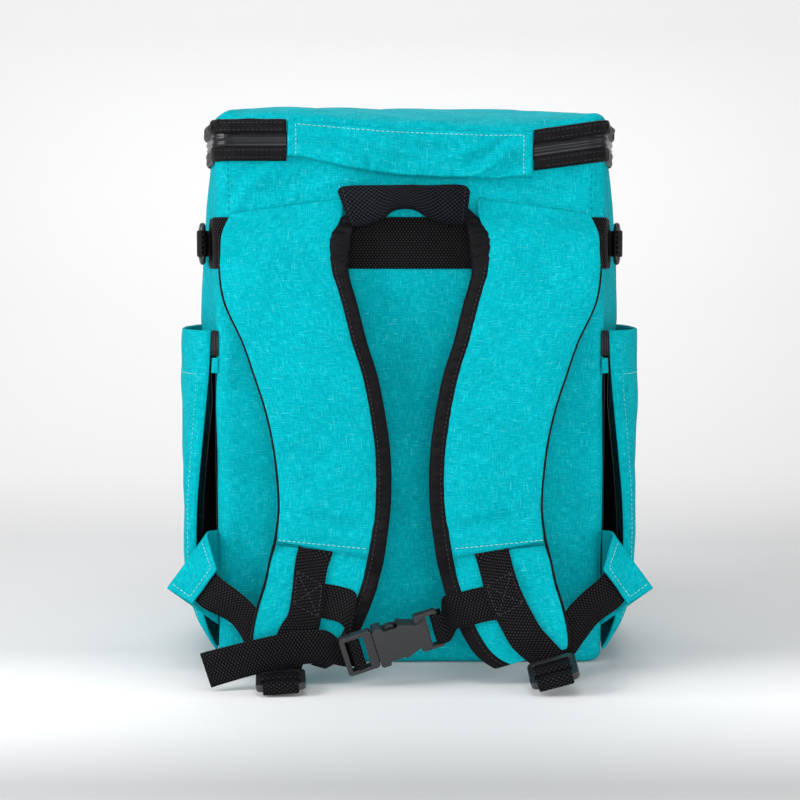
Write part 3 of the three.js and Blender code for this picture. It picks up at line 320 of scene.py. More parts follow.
def grid_uv(grid: np.ndarray) -> np.ndarray:
    """Texture coordinates in metres from the mean lengths along a grid's rows and columns."""
    across = np.linalg.norm(np.diff(grid, axis=1), axis=2).mean(axis=0)
    along = np.linalg.norm(np.diff(grid, axis=0), axis=2).mean(axis=1)
    u = np.concatenate([[0], np.cumsum(across)])
    v = np.concatenate([[0], np.cumsum(along)])
    return uv_table(u[None, :], v[:, None])


def linear(hex_colour: str) -> tuple[float, float, float, float]:
    """A hex sRGB colour as linear RGBA."""
    channels = [int(hex_colour[k:k + 2], 16) / 255 for k in (1, 3, 5)]
    turned = [c / 12.92 if c <= 0.04045 else ((c + 0.055) / 1.055) ** 2.4 for c in channels]
    return (*turned, 1.0)


@dataclass
class Nodes:
    """The nodes of one material, and shorthand to add to them.

    Attributes:
        tree: The material's node tree.
        shader: Its base shader.
    """

    tree: bpy.types.NodeTree
    shader: bpy.types.Node | None = None

    def add(self, kind: str, inputs: dict | None = None, **settings) -> bpy.types.Node:
        """A new node of a kind, with its settings and inputs."""
        node = self.tree.nodes.new(f"ShaderNode{kind}")
        for key, value in settings.items():
            setattr(node, key, value)
        self.plug(node, inputs or {})
        return node

    def plug(self, node: bpy.types.Node, inputs: dict) -> None:
        """Links each input, by name or number, that is given a socket, and sets any other."""
        for key, value in inputs.items():
            if isinstance(value, bpy.types.NodeSocket):
                self.tree.links.new(value, node.inputs[key])
            else:
                node.inputs[key].default_value = value

    def maths(self, operation: str, *values) -> bpy.types.NodeSocket:
        """The result of one sum on numbers or sockets."""
        return self.add("Math", dict(enumerate(values)), operation=operation).outputs[0]

    def mixed(self, share, first, second, blend: str = "MIX") -> bpy.types.NodeSocket:
        """Two colours mixed by a share, each a socket or a linear colour."""
        return self.add("Mix", {0: share, 6: first, 7: second}, data_type="RGBA", blend_type=blend).outputs[2]

    def ramp(self, value: bpy.types.NodeSocket, stops: list, blue: float = 1.0) -> bpy.types.NodeSocket:
        """A grey that follows a value.

        Args:
            value: What it follows.
            stops: Pairs of a value from 0 to 1 and its grey.
            blue: Blue's share of that grey.
        """
        node = self.add("ValToRGB", {"Fac": value})
        elements = node.color_ramp.elements
        for k, (place, grey) in enumerate(stops):
            element = elements[k] if k < 2 else elements.new(place)
            element.position, element.color = place, (grey, grey, grey * blue, 1)
        return node.outputs[0]

    def cloth_place(self, across: float, along: float) -> bpy.types.NodeSocket:
        """The texture coordinates in periods, whose lengths across and along the cloth are given in metres."""
        place = self.add("UVMap", uv_map="cloth").outputs["UV"]
        return self.add("Mapping", {"Vector": place, "Scale": (1 / across, 1 / along, 1)}).outputs["Vector"]

    def cloth_axes(self, across: float, along: float) -> tuple[bpy.types.NodeSocket, bpy.types.NodeSocket]:
        """Both coordinates of a place on the cloth, in periods as before."""
        parts = self.add("SeparateXYZ", {"Vector": self.cloth_place(across, along)}).outputs
        return parts["X"], parts["Y"]

    def wave(self, kind: str, value: bpy.types.NodeSocket) -> bpy.types.NodeSocket:
        """The sine or cosine of a value in whole turns."""
        return self.maths(kind, self.maths("MULTIPLY", value, 2 * math.pi))

    def noise(self, place: bpy.types.NodeSocket, detail: float, scale: float = 1.0) -> bpy.types.NodeSocket:
        """A noise of a place, from 0 to 1."""
        return self.add("TexNoise", {"Vector": place, "Scale": scale, "Detail": detail}).outputs["Fac"]

    def dress(self, colour, height: bpy.types.NodeSocket, depth: float, strength: float) -> None:
        """Gives the shader its colour, and bumps it by a height from 0 to 1 times a depth in metres."""
        bump = self.add("Bump", {"Height": height, "Distance": depth, "Strength": strength})
        self.plug(self.shader, {"Base Color": colour, "Normal": bump.outputs["Normal"]})


@dataclass(frozen=True)
class Finish:
    """What all the materials share: a name, and the base shader with its plain numbers.

    Attributes:
        name: The real material's name.
        roughness: How dull it is.
        specular: How strongly it reflects.
    """

    name: str
    roughness: float
    specular: float

    def made(self) -> bpy.types.Material:
        """The material, made once: one shader with the finish's numbers, and the nodes that the finish draws."""
        material = bpy.data.materials.get(self.name)
        if material is None:
            material = bpy.data.materials.new(self.name)
            material.use_nodes = True
            nodes = Nodes(material.node_tree)
            nodes.tree.nodes.clear()
            nodes.shader = nodes.add("BsdfPrincipled", {"Roughness": self.roughness,
                                                        "Specular IOR Level": self.specular})
            nodes.add("OutputMaterial", {"Surface": nodes.shader.outputs["BSDF"]})
            self.draw(nodes)
        return material


@dataclass(frozen=True)
class HeatherCloth(Finish):
    """Coated polyester of mixed yarns: pale and deep dashes along both threads on an even ground.

    The real yarn is 0.4 mm. Its dashes are drawn 0.8 mm wide, about as fine as the picture shows.

    Attributes:
        ground: Its main colour.
        pale: The colour of the light yarns.
        deep: The colour of the dark yarns.
        slub: The colour of the few thick pale yarns.
        yarn: Metres across one dash.
        dash: Metres along one dash.
        slub_dash: Metres along one slub.
        patch: Metres of one slightly paler or deeper patch.
    """

    ground: str = "#009ca7"
    pale: str = "#1ec4ce"
    deep: str = "#007986"
    slub: str = "#6fe8ea"
    yarn: float = 0.0008
    dash: float = 0.007
    slub_dash: float = 0.011
    patch: float = 0.035

    def dashes(self, nodes: Nodes, length: float, seeds: tuple[float, float]) -> list:
        """Two noises of dashes of a length, the first across the cloth and the second along it."""
        found = []
        for periods, seed in zip(((length, self.yarn), (self.yarn, length)), seeds):
            found.append(nodes.add("TexNoise", {
                "Vector": nodes.cloth_place(*periods), "Scale": 1.0, "Detail": 2.0, "W": seed, "Roughness": 0.6,
            }, noise_dimensions="4D").outputs["Fac"])
        return found

    def draw(self, nodes: Nodes) -> None:
        """Mixes dashes and slubs along both threads over the ground, tones it in patches and bumps the dashes."""
        yarns, slubs = self.dashes(nodes, self.dash, (3.0, 11.0)), self.dashes(nodes, self.slub_dash, (5.0, 17.0))
        both = nodes.maths("ADD", *yarns)
        dark = nodes.ramp(both, [(0.8, 1), (0.99, 0)])
        light = nodes.ramp(nodes.maths("MAXIMUM", *yarns), [(0.56, 0), (0.7, 1)])
        slub = nodes.ramp(nodes.maths("MAXIMUM", *slubs), [(0.63, 0), (0.75, 1)])
        colour = linear(self.ground)
        for found, share, yarn in ((dark, 0.5, self.deep), (light, 0.65, self.pale), (slub, 0.45, self.slub)):
            colour = nodes.mixed(nodes.maths("MULTIPLY", found, share), colour, linear(yarn))
        broad = nodes.noise(nodes.cloth_place(self.patch, self.patch), 2.0)
        tone = nodes.ramp(broad, [(0.3, 0.93), (0.7, 1.06)])
        nodes.dress(nodes.mixed(1.0, colour, tone, "MULTIPLY"), both, 0.00035, 0.5)


@dataclass(frozen=True)
class RibbedWebbing(Finish):
    """Black nylon webbing: close ribs across the strap, broken by warp threads into rows of dots with painted
    glints.

    Attributes:
        colour: The threads' colour, shown where they stand highest as a painted glint.
        gap: The colour between them, near black as painted shade.
        rib: Metres from one rib to the next along the strap.
        thread: Metres from one warp thread to the next.
    """

    colour: str = "#333236"
    gap: str = "#040405"
    rib: float = 0.0024
    thread: float = 0.0019

    def draw(self, nodes: Nodes) -> None:
        """Ribs and threads are sine waves. Their product is the height, and its cube is the share of the painted
        glint.
        """
        x, y = nodes.cloth_axes(self.thread, self.rib)
        shift = nodes.maths("MULTIPLY", nodes.maths("FLOOR", x), 0.5)
        ribs = nodes.maths("MULTIPLY_ADD", nodes.wave("SINE", nodes.maths("ADD", y, shift)), 0.5, 0.5)
        threads = nodes.maths("ABSOLUTE", nodes.maths("SINE", nodes.maths("MULTIPLY", x, math.pi)))
        height = nodes.maths("MULTIPLY", ribs, nodes.maths("POWER", threads, 0.5))
        # Painted highlight and shade: the highest points take the lighter colour as a glint, and the gaps take the
        # near-black colour as shade.
        glint = nodes.maths("POWER", height, 3.0)
        nodes.dress(nodes.mixed(glint, linear(self.gap), linear(self.colour)), height, 0.0005, 0.8)


@dataclass(frozen=True)
class SpacerMesh(Finish):
    """Black spacer mesh: a raised net over a dark core, with staggered oval holes.

    Attributes:
        colour: The net's colour.
        core_in_shade: The core's colour seen in the holes, darkened to near black as painted shade.
        pitch: Metres between holes of one row. The rows are half as far again apart.
    """

    colour: str = "#2a2c34"
    core_in_shade: str = "#010101"
    pitch: float = 0.0026

    def draw(self, nodes: Nodes) -> None:
        """Two shifted square lattices of round holes, as the larger of two sums of cosines."""
        axes = nodes.cloth_axes(self.pitch, self.pitch * 1.5)
        lattices = []
        for shift in (0.0, 0.5):
            waves = [nodes.wave("COSINE", nodes.maths("ADD", axis, shift)) for axis in axes]
            lattices.append(nodes.maths("ADD", *waves))
        holes = nodes.maths("MAXIMUM", *lattices)
        depth = nodes.ramp(nodes.maths("MULTIPLY", holes, 0.5), [(0.08, 0), (0.48, 1)])
        # Painted shade: the deeper the hole, the more of the near-black colour.
        colour = nodes.mixed(depth, linear(self.colour), linear(self.core_in_shade))
        nodes.dress(colour, nodes.maths("SUBTRACT", 1.0, depth), 0.001, 0.9)


@dataclass(frozen=True)
class PlainCloth(Finish):
    """A fine plain weave, such as binding tape or lining, with its threads drawn 0.8 mm apart.

    Attributes:
        colour: The cloth's colour.
        tone: How much patches differ in brightness.
        grain: Metres of one thread.
        patch: Metres of one patch.
    """

    colour: str = "#1d1b20"
    tone: float = 0.25
    grain: float = 0.0008
    patch: float = 0.004

    def draw(self, nodes: Nodes) -> None:
        """Crossed sine threads bump the surface, and a broad noise varies the colour a little."""
        waves = [nodes.wave("SINE", axis) for axis in nodes.cloth_axes(self.grain, self.grain)]
        broad = nodes.noise(nodes.cloth_place(self.patch, self.patch), 3.0)
        shade = nodes.ramp(broad, [(0.3, 1 - self.tone), (0.7, 1 + self.tone)])
        colour = nodes.mixed(1.0, linear(self.colour), shade, "MULTIPLY")
        nodes.dress(colour, nodes.maths("MULTIPLY", *waves), 0.0002, 0.5)


@dataclass(frozen=True)
class Moulded(Finish):
    """Satin moulded plastic or a rubbery coating, with a faint grain so that it isn't perfectly even.

    Attributes:
        colour: Its colour.
        grain: Metres that the grain rises.
    """

    colour: str = "#202022"
    grain: float = 0.00006

    def draw(self, nodes: Nodes) -> None:
        """A fine noise of 1.1 mm, in object coordinates, bumps it. One of 17 mm moves its roughness a little."""
        place = nodes.add("TexCoord").outputs["Object"]
        fine, broad = nodes.noise(place, 2.0, 900.0), nodes.noise(place, 3.0, 60.0)
        nodes.plug(nodes.shader, {"Roughness": nodes.maths("MULTIPLY_ADD", broad, 0.16, self.roughness - 0.08)})
        nodes.dress(linear(self.colour), fine, self.grain, 0.6)


@dataclass(frozen=True)
class PaperSweep(Finish):
    """White paper painted with light and shade along it, which glows a little as painted light behind the bag, as
    bright as in the photograph.
    """

    def draw(self, nodes: Nodes) -> None:
        """Along Y its colour paints shade at the dim front edge and behind the bag and light just in front of it,
        and the bright backdrop glows.
        """
        place = nodes.add("TexCoord").outputs["Object"]
        y = nodes.add("SeparateXYZ", {"Vector": place}).outputs["Y"]
        share = nodes.maths("MULTIPLY_ADD", y, 1 / 3.5, 1 / 3.5)
        # Painted shade and light: darker at the front edge, lightest just in front of the bag, darker again behind
        # it.
        white = nodes.ramp(share, [(0.1, 0.9), (0.15, 0.5), (0.172, 0.47), (0.205, 0.76), (0.226, 0.86),
                                   (0.269, 0.56), (0.384, 0.56), (0.5, 0.55)], 1.01)
        # Painted light: the backdrop glows by emission, more the higher it rises.
        painted_glow = nodes.ramp(share, [(0.42, 0.02), (0.55, 0.19), (0.717, 0.31), (0.851, 0.47)])
        nodes.plug(nodes.shader, {"Base Color": white, "Emission Color": painted_glow, "Emission Strength": 1.0})


TEAL = HeatherCloth("heathered coated polyester", 0.75, 0.02)
BINDING = PlainCloth("black nylon binding tape", 0.36, 0.1, "#08070a")
LINING = PlainCloth("black nylon lining", 0.42, 0.2, "#110f15")
PALE_THREAD = PlainCloth("pale polyester thread", 0.7, 0.2, "#9fd0cf", 0.1)
GREY_THREAD = PlainCloth("grey polyester thread", 0.7, 0.1, "#3f3e43", 0.1)
# Both webbings paint glints on their raised threads and shade in the gaps between them.
WEBBED = RibbedWebbing("ribbed black nylon webbing", 0.55, 0.05)
ELASTIC = RibbedWebbing("ribbed black elastic", 0.65, 0.2, "#38373c", rib=0.0028, thread=0.02)
SPACER = SpacerMesh("black spacer mesh", 0.6, 0.06)
COATED = Moulded("polyurethane-coated zip tape", 0.3, 0.3, "#0e1015", 0.00002)
ACETAL = Moulded("satin moulded acetal", 0.27, 0.6)
PAPER = PaperSweep("white paper sweep", 0.7, 0.15)


# The bag's skin, as in the CAD. Turn 0 is the middle of the back, 1 of the right side, 2 the front and 3 the left.

CLEAR = 0.35
FABRIC = 2.0
TAPE, WEB_WIDTH = 1.5, 25.0
WIDTH, DEPTH, RIM, WALL = 290.0, 200.0, 384.0, 9.0
CORNER, BASE_RADIUS = 14.0, 7.0
BULGES = np.array([3.0, 21.0, 10.0, 21.0])
# Share of the rim's height, then shares of the side's and of the faces' bulges.
SKIN_ROWS = np.array([
    [0, 0.2, 0], [0.12, 0.42, 0.5], [0.24, 0.58, 0.85], [0.52, 0.78, 1], [0.665, 1, 1], [0.78, 0.9, 0.9],
    [0.9, 0.76, 0.6], [0.975, 0.55, 0.3], [1.06, 0.66, 0.3]])
FLAT_SHARE = 0.4
RIM_SAG = 8.0
# Share of the half width, then share of the rim's sag.
SAG_ROWS = np.array([[-1, 0], [-0.6, 0], [-0.34, 0.38], [-0.1, 0.69], [0.2, 0.88], [0.41, 1], [0.62, 1],
                     [0.86, 0.38], [1, 0]])
LID_LOW, LID_HIGH, CROWN = 396.0, 405.0, 16.0
HINGE_HALF = 90.0
# Dents and wrinkles of the back panel and the rim: start and end in x and z, half width and height.
BACK_FOLDS = (
    ((50, 368), (112, 352), 3.2, -2.4), ((84, 366), (126, 338), 3.0, 2.0),
    ((-58, 366), (-118, 348), 4.0, -1.8), ((-30, 366), (-84, 356), 3.0, 1.4),
    ((112, 383), (140, 346), 2.8, -2.2), ((139, 384), (140, 334), 1.3, -1.8),
    ((-112, 380), (-138, 340), 3.4, -2.0), ((-96, 378), (-122, 352), 2.6, 1.4),
    ((-40, 300), (-26, 120), 14, -1.8), ((34, 270), (20, 90), 15, -1.2), ((-120, 60), (-60, 20), 5, -1.3),
    ((118, 40), (142, 8), 3.2, -1.8), ((92, 46), (130, 20), 3.4, 2.2), ((88, 36), (124, 10), 2.6, -1.8),
    ((-128, 100), (-96, 34), 6, -1.2), ((-16, 110), (14, 60), 10, -1.0), ((-130, 250), (-128, 160), 6, -1.0),
    ((132, 250), (126, 150), 6, -1.1), ((0, 356), (44, 340), 5, -0.8), ((-134, 330), (-118, 372), 3.0, 1.6),
    ((60, 30), (100, 60), 5, 1.3), ((-40, 40), (-90, 22), 5, 1.1),
)


def skin(height: np.ndarray, turn: np.ndarray, outset: np.ndarray = 0.0) -> np.ndarray:
    """Points on the bag's skin. All arguments broadcast together.

    Each side is a straight face that bulges by its share of a squared cosine across it. A quarter turn joins it to
    the next. Below the base's radius the whole section draws in along a quarter circle.

    Args:
        height: Millimetres above the floor.
        turn: Where round the bag, a whole number in the middle of each side.
        outset: Millimetres out of the skin.
    """
    height, turn, outset = np.broadcast_arrays(np.asarray(height, float), np.asarray(turn, float), outset)
    side = np.round(turn)
    local = turn - side
    faces_y = side.astype(int) % 2 == 0
    lift = np.clip(BASE_RADIUS - height, 0, BASE_RADIUS)
    inset = BASE_RADIUS - np.sqrt(BASE_RADIUS**2 - lift**2) - outset
    half_out = np.where(faces_y, DEPTH, WIDTH) / 2 - inset
    half_along = np.where(faces_y, WIDTH, DEPTH) / 2 - inset
    radius = np.maximum(CORNER - inset, 1)
    share = height / RIM
    rows = np.where(faces_y, column(SKIN_ROWS, share, 2), column(SKIN_ROWS, share, 1))
    bulge = BULGES[side.astype(int) % 4] * rows
    flat = np.clip(local / FLAT_SHARE, -1, 1)
    angle = np.clip((np.abs(local) - FLAT_SHARE) / (0.5 - FLAT_SHARE), 0, 1) * math.pi / 4
    on_flat = np.abs(local) <= FLAT_SHARE
    along = np.where(on_flat, flat * (half_along - radius),
                     np.sign(local) * (half_along - radius + radius * np.sin(angle)))
    out = np.where(on_flat, half_out + bulge * np.cos(flat * math.pi / 2) ** 2,
                   half_out - radius + radius * np.cos(angle))
    a = side * math.pi / 2
    return np.stack([along * np.cos(a) + out * np.sin(a), along * np.sin(a) - out * np.cos(a), height], axis=-1)


def settled(points: np.ndarray) -> np.ndarray:
    """Points with the sag of the rim's back: down by the sag's share there, fading out down and to the front."""
    x, y, z = points[..., 0], points[..., 1], points[..., 2]
    near = smoothstep(-y, 0, DEPTH / 2) * smoothstep(z, RIM - 50, RIM)
    drop = RIM_SAG * column(SAG_ROWS, x / (WIDTH / 2), 1) * near
    return np.stack([x, y, z - drop], axis=-1)


def relief(height: np.ndarray, turn: np.ndarray) -> np.ndarray:
    """How far the loose outer cloth stands out of the even skin, in millimetres.

    The back panel has the folds of its table. Each face has a slow random wave besides, fading at the hem.
    """
    height, turn = np.broadcast_arrays(np.asarray(height, float), np.asarray(turn, float))
    plain = skin(height, turn)
    x = plain[..., 0]
    near = np.abs(((turn + 2) % 4) - 2)
    total = 1.15 * sum(fold(x, height, *f) for f in BACK_FOLDS) * (1 - smoothstep(near, 0.46, 0.6))
    wave = 0.7 * soft_noise(turn * 2.2, height / 120, 5) + 0.35 * soft_noise(turn * 7, height / 55, 6)
    return (total + wave) * smoothstep(height, 4, 30)


def turn_at(x: np.ndarray) -> np.ndarray:
    """Turn of the back panel's point at a width x."""
    return FLAT_SHARE * np.asarray(x, float) / (WIDTH / 2 - CORNER)


def round_turns(flat: int, corner: int) -> np.ndarray:
    """Turns all round the bag from the middle of the back, with so many steps on half a side and half a corner."""
    face = np.linspace(-FLAT_SHARE, FLAT_SHARE, 2 * flat + 1)
    bend = FLAT_SHARE + np.linspace(0, 1 - 2 * FLAT_SHARE, 2 * corner + 1)[1:-1]
    whole = np.concatenate([np.concatenate([side + face, side + bend]) for side in range(4)])
    return np.sort(whole % 4)


def ring_uv(rings: np.ndarray) -> np.ndarray:
    """Texture coordinates of rings: mean length round them, and length along from ring to ring, in metres."""
    closed = np.concatenate([rings, rings[:, :1]], axis=1)
    steps = np.linalg.norm(np.diff(closed, axis=1), axis=2).mean(axis=0)
    u = np.concatenate([[0], np.cumsum(steps)])
    along = np.concatenate([[0], np.cumsum(np.linalg.norm(np.diff(rings, axis=0), axis=2).mean(axis=1))])
    return uv_table(u[None, :], along[:, None])


@dataclass
class Assembly:
    """Pieces that are made together and ride on the one CAD body.

    Attributes:
        side: Which side they are on, where there is one of them on each.
    """

    side: Side | None = None

    def sided(self, stem: str) -> str:
        """A name's stem with the side's word after it."""
        return f"{stem}_{self.side.word}"

    def keep(self, obj: bpy.types.Object, finish: Finish, slot: Slot, *nodes: str) -> bpy.types.Object:
        """Dresses a piece, lets it ride on the body and stand for its CAD nodes.

        Args:
            obj: The piece.
            finish: What it is made of.
            slot: The record's slot for the piece's material. Not used.
            nodes: CAD nodes that it replaces.
        """
        obj.data.materials.clear()
        obj.data.materials.append(finish.made())
        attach(obj, "root")
        if nodes:
            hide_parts(*nodes)
        LOG.info("%s: %d faces", obj.name, len(obj.data.polygons))
        return obj

    def declare(self, obj: bpy.types.Object, grid: np.ndarray, held: str) -> None:
        """Does nothing: no sheet is declared and no size is logged.

        Args:
            obj: The piece. Not used.
            grid: Its points, as rows by columns by three. Not used.
            held: How it is held. Not used.
        """

    def web(self, name: str, stations: list, steps: int, node: str, width: float = WEB_WIDTH) -> None:
        """Webbing through stations, with so many rows along it, that stands for a CAD node."""
        self.keep(ribbon(name, stations, width, steps), WEBBED, Slot.WEBBING, node)

    def mould(self, name: str, node: str, bevel: float) -> None:
        """A moulded plastic piece in a CAD node's shape, with its edges rounded.

        Args:
            name: The object's name.
            node: The node that it stands for.
            bevel: Width of its rounded edges in millimetres.
        """
        obj = bpy.data.objects.new(name, frame["nodes"][node].data.copy())
        bpy.context.scene.collection.objects.link(obj)
        weld(obj)
        finish_mesh(obj, 35)
        edges = obj.modifiers.new("rounded edges", "BEVEL")
        edges.width, edges.segments = bevel * MM, 3
        edges.limit_method, edges.angle_limit = "ANGLE", math.radians(35)
        edges.use_clamp_overlap = True
        self.keep(obj, ACETAL, Slot.PLASTIC, node)


@dataclass
class Tub(Assembly):
    """The insulated tub: heathered cloth outside and a liner inside, which is given the heathered cloth too rather
    than a dark one.

    Attributes:
        flat_steps: Steps on half a side.
        rows: Rows of the outer skin.
    """

    flat_steps: int = 34
    rows: int = 150

    def build(self) -> None:
        """One closed loft: under the base, up the outer skin, over the rim and down the liner to its floor."""
        turns = round_turns(self.flat_steps, 5)
        levels = np.concatenate([BASE_RADIUS * np.array([0, 0.04, 0.14, 0.3, 0.5, 0.75]),
                                 np.linspace(BASE_RADIUS, RIM, self.rows)])
        outer = skin(levels[:, None], turns, relief(levels[:, None], turns[None, :]))
        under = [skin(0, turns, -share * DEPTH / 2) for share in (0.9, 0.5, 0.12)]
        inner = [skin(z, turns, -WALL) for z in np.array([1, 0.9, 0.665, 0.4, 0.12]) * RIM]
        floor = skin(WALL + BASE_RADIUS, turns, -WALL)
        floor[:, 2] = WALL
        rings = settled(np.concatenate([np.stack(under), outer, np.stack([*inner, floor])]))
        obj = loft("tub", rings, sharp=50)
        self.keep(obj, TEAL, Slot.TEAL, "body_tub")
        z = np.linspace(338, 376, 24)
        seam = []
        for sign in (-1, 1):
            turn = turn_at(sign * 139.5)
            seam.append((skin(z, turn, relief(z, turn) + 0.1), (sign * 0.4, -0.9, 0)))
        self.keep(stitches("corner_stitches", seam, 4.6, 2.6, 0.5), BINDING, Slot.TEAL)


def slab(name: str, front: np.ndarray, back: np.ndarray, sharp: float = 50,
         uv: np.ndarray | None = None) -> bpy.types.Object:
    """A closed solid between two grids of as many rows and columns.

    Args:
        name: The object's name.
        front: Points of one face in millimetres, as rows by columns by three.
        back: Points of the other face.
        sharp: Angle between faces that stays sharp, in degrees.
        uv: Texture coordinates of the front in metres. The back has the same ones.
    """
    rings = np.concatenate([front, back[:, ::-1]], axis=1)
    uv = grid_uv(front) if uv is None else uv
    uvs = np.concatenate([uv, uv[:, ::-1], uv[:, :1]], axis=1)
    return loft(name, rings, "strip", sharp, uvs)


def webbing_path(stations: list, steps: int) -> tuple[np.ndarray, np.ndarray, np.ndarray]:
    """Points of a smooth path through stations, with the directions of the webbing's width and out of its face."""
    rows = np.array([np.concatenate([at, unit(np.asarray(across, float))]) for at, across in stations])
    path = smooth_path(rows, steps)
    centre, across = path[:, :3], path[:, 3:]
    return centre, across, unit(np.cross(unit(np.gradient(centre, axis=0)), across))


def ribbon(name: str, stations: list, width: float, steps: int) -> bpy.types.Object:
    """Flat webbing along a smooth path, with rounded selvedges.

    Args:
        name: The object's name.
        stations: Pairs of a point and the direction of the width there.
        width: The webbing's width in millimetres.
        steps: How many rows it has.
    """
    centre, across, normal = webbing_path(stations, steps)
    place = np.array([-1, -0.93, -0.6, 0, 0.6, 0.93, 1]) * width / 2
    thick = np.array([0.35, 0.9, 1, 1, 1, 0.9, 0.35]) * TAPE / 2
    middle = centre[:, None] + unit(across)[:, None] * place[None, :, None]
    lift = normal[:, None] * thick[None, :, None]
    return slab(name, middle + lift, middle - lift, uv=uv_table(place[None, :], path_length(centre)[:, None]))


def stitches(name: str, lines: list, pitch: float, length: float, width: float,
             lift: float = 0.12) -> bpy.types.Object:
    """Rows of thread stitches as one object, each a small spindle with 12 faces.

    Args:
        name: The object's name.
        lines: Pairs of the seam's points and the surface's outward directions there, in millimetres.
        pitch: Distance from one stitch to the next.
        length: A stitch's length.
        width: Its width, a little over the real thread's so that it shows.
        lift: How far its middle is out of the surface.
    """
    shape = np.array([[-0.5, 0, -0.35], [0.5, 0, -0.35]] + [[a, s, u] for a in (-0.32, 0.32)
                     for s, u in ((-0.5, 0), (0, 0.5), (0.5, 0), (0, -0.5))])
    tips = [[0, 2 + (k + 1) % 4, 2 + k] for k in range(4)] + [[1, 6 + k, 6 + (k + 1) % 4] for k in range(4)]
    walls = [[2 + k, 2 + (k + 1) % 4, 6 + (k + 1) % 4, 6 + k] for k in range(4)]
    centres, ways, ups = [], [], []
    for points, normals in lines:
        count = max(2, int(round(path_length(points)[-1] / pitch)))
        normals = np.broadcast_to(np.asarray(normals, float), points.shape)
        even = evenly(np.hstack([points, normals]), 2 * count + 1)
        centres.append(even[1::2, :3])
        ways.append(unit(even[2::2, :3] - even[:-1:2, :3]))
        ups.append(unit(even[1::2, 3:]))
    centre, way, up = (np.concatenate(a) for a in (centres, ways, ups))
    side = unit(np.cross(up, way))
    up = np.cross(way, side)
    local = shape * [length, width, width]
    points = (centre[:, None] + way[:, None] * local[None, :, :1] + side[:, None] * local[None, :, 1:2]
              + up[:, None] * (local[None, :, 2:] + lift))
    start = (np.arange(len(centre)) * len(shape))[:, None, None]
    faces = [(np.array(f)[None] + start).reshape(-1, len(f[0])) for f in (tips, walls)]
    uvs = np.zeros((sum(f.size for f in faces), 2))
    return make_object(name, points.reshape(-1, 3), faces, uvs, 180)


@dataclass
class Lid(Assembly):
    """The domed foam lid.

    Attributes:
        flat_steps: Steps on half a side.
        crown_rows: Rows from the rim to the middle of the top.
    """

    flat_steps: int = 34
    crown_rows: int = 34

    def build(self) -> None:
        """One closed loft: in under the lid, out to its lower edge, up the rim and over the crown."""
        turns = round_turns(self.flat_steps, 5)
        # Share of the half depth inwards, then share of the crown's rise.
        table = np.array([[0, 0], [0.03, 0.25], [0.1, 0.45], [0.25, 0.68], [0.5, 0.86], [0.96, 1]])
        share = np.linspace(0, 1, self.crown_rows) ** 1.6 * 0.96
        rise = np.interp(share, *smooth_path(np.hstack([table, table[:, :1]]), 200)[:, :2].T)
        under = [skin(LID_HIGH - WALL, turns, -s * DEPTH / 2) + [0, 0, np.interp(s, *table.T) * CROWN]
                 for s in (0.9, 0.5, 0.25, 0.1)]
        rim = [skin(z, turns, self.pucker(z, turns)) for z in np.linspace(LID_LOW, LID_HIGH - 0.5, 5)]
        top = []
        for s, r in zip(share, rise):
            row = skin(LID_HIGH, turns, -s * DEPTH / 2 + self.pucker(LID_HIGH, turns) * (1 - s) ** 8)
            row[:, 2] = LID_HIGH + r * CROWN + self.ripple(row, s)
            top.append(row)
        rings = settled(np.stack([*under, *rim, *top]))
        obj = loft("lid_shell", rings)
        self.keep(obj, TEAL, Slot.TEAL, "lid")

    def pucker(self, z: float, turns: np.ndarray) -> np.ndarray:
        """How far the rim's cloth is gathered out by the seam of its binding, in millimetres."""
        return 0.35 * soft_noise(turns * 14, np.full_like(turns, z / 9), 21)

    def ripple(self, row: np.ndarray, share: float) -> np.ndarray:
        """How far the crown's cloth rises in soft waves, most of them near the rim."""
        near = np.exp(-(((share - 0.08) / 0.12) ** 2))
        x, y = row[:, 0], row[:, 1]
        return (0.9 * soft_noise(x / 70, y / 55, 31) * min(1, share * 8)
                + 0.8 * near * soft_noise(x / 24, y / 24, 32))


ZIP_HEIGHTS, ZIP_MIDDLE, TAPE_TALL = (380.0, 400.0), 389.5, 10.5


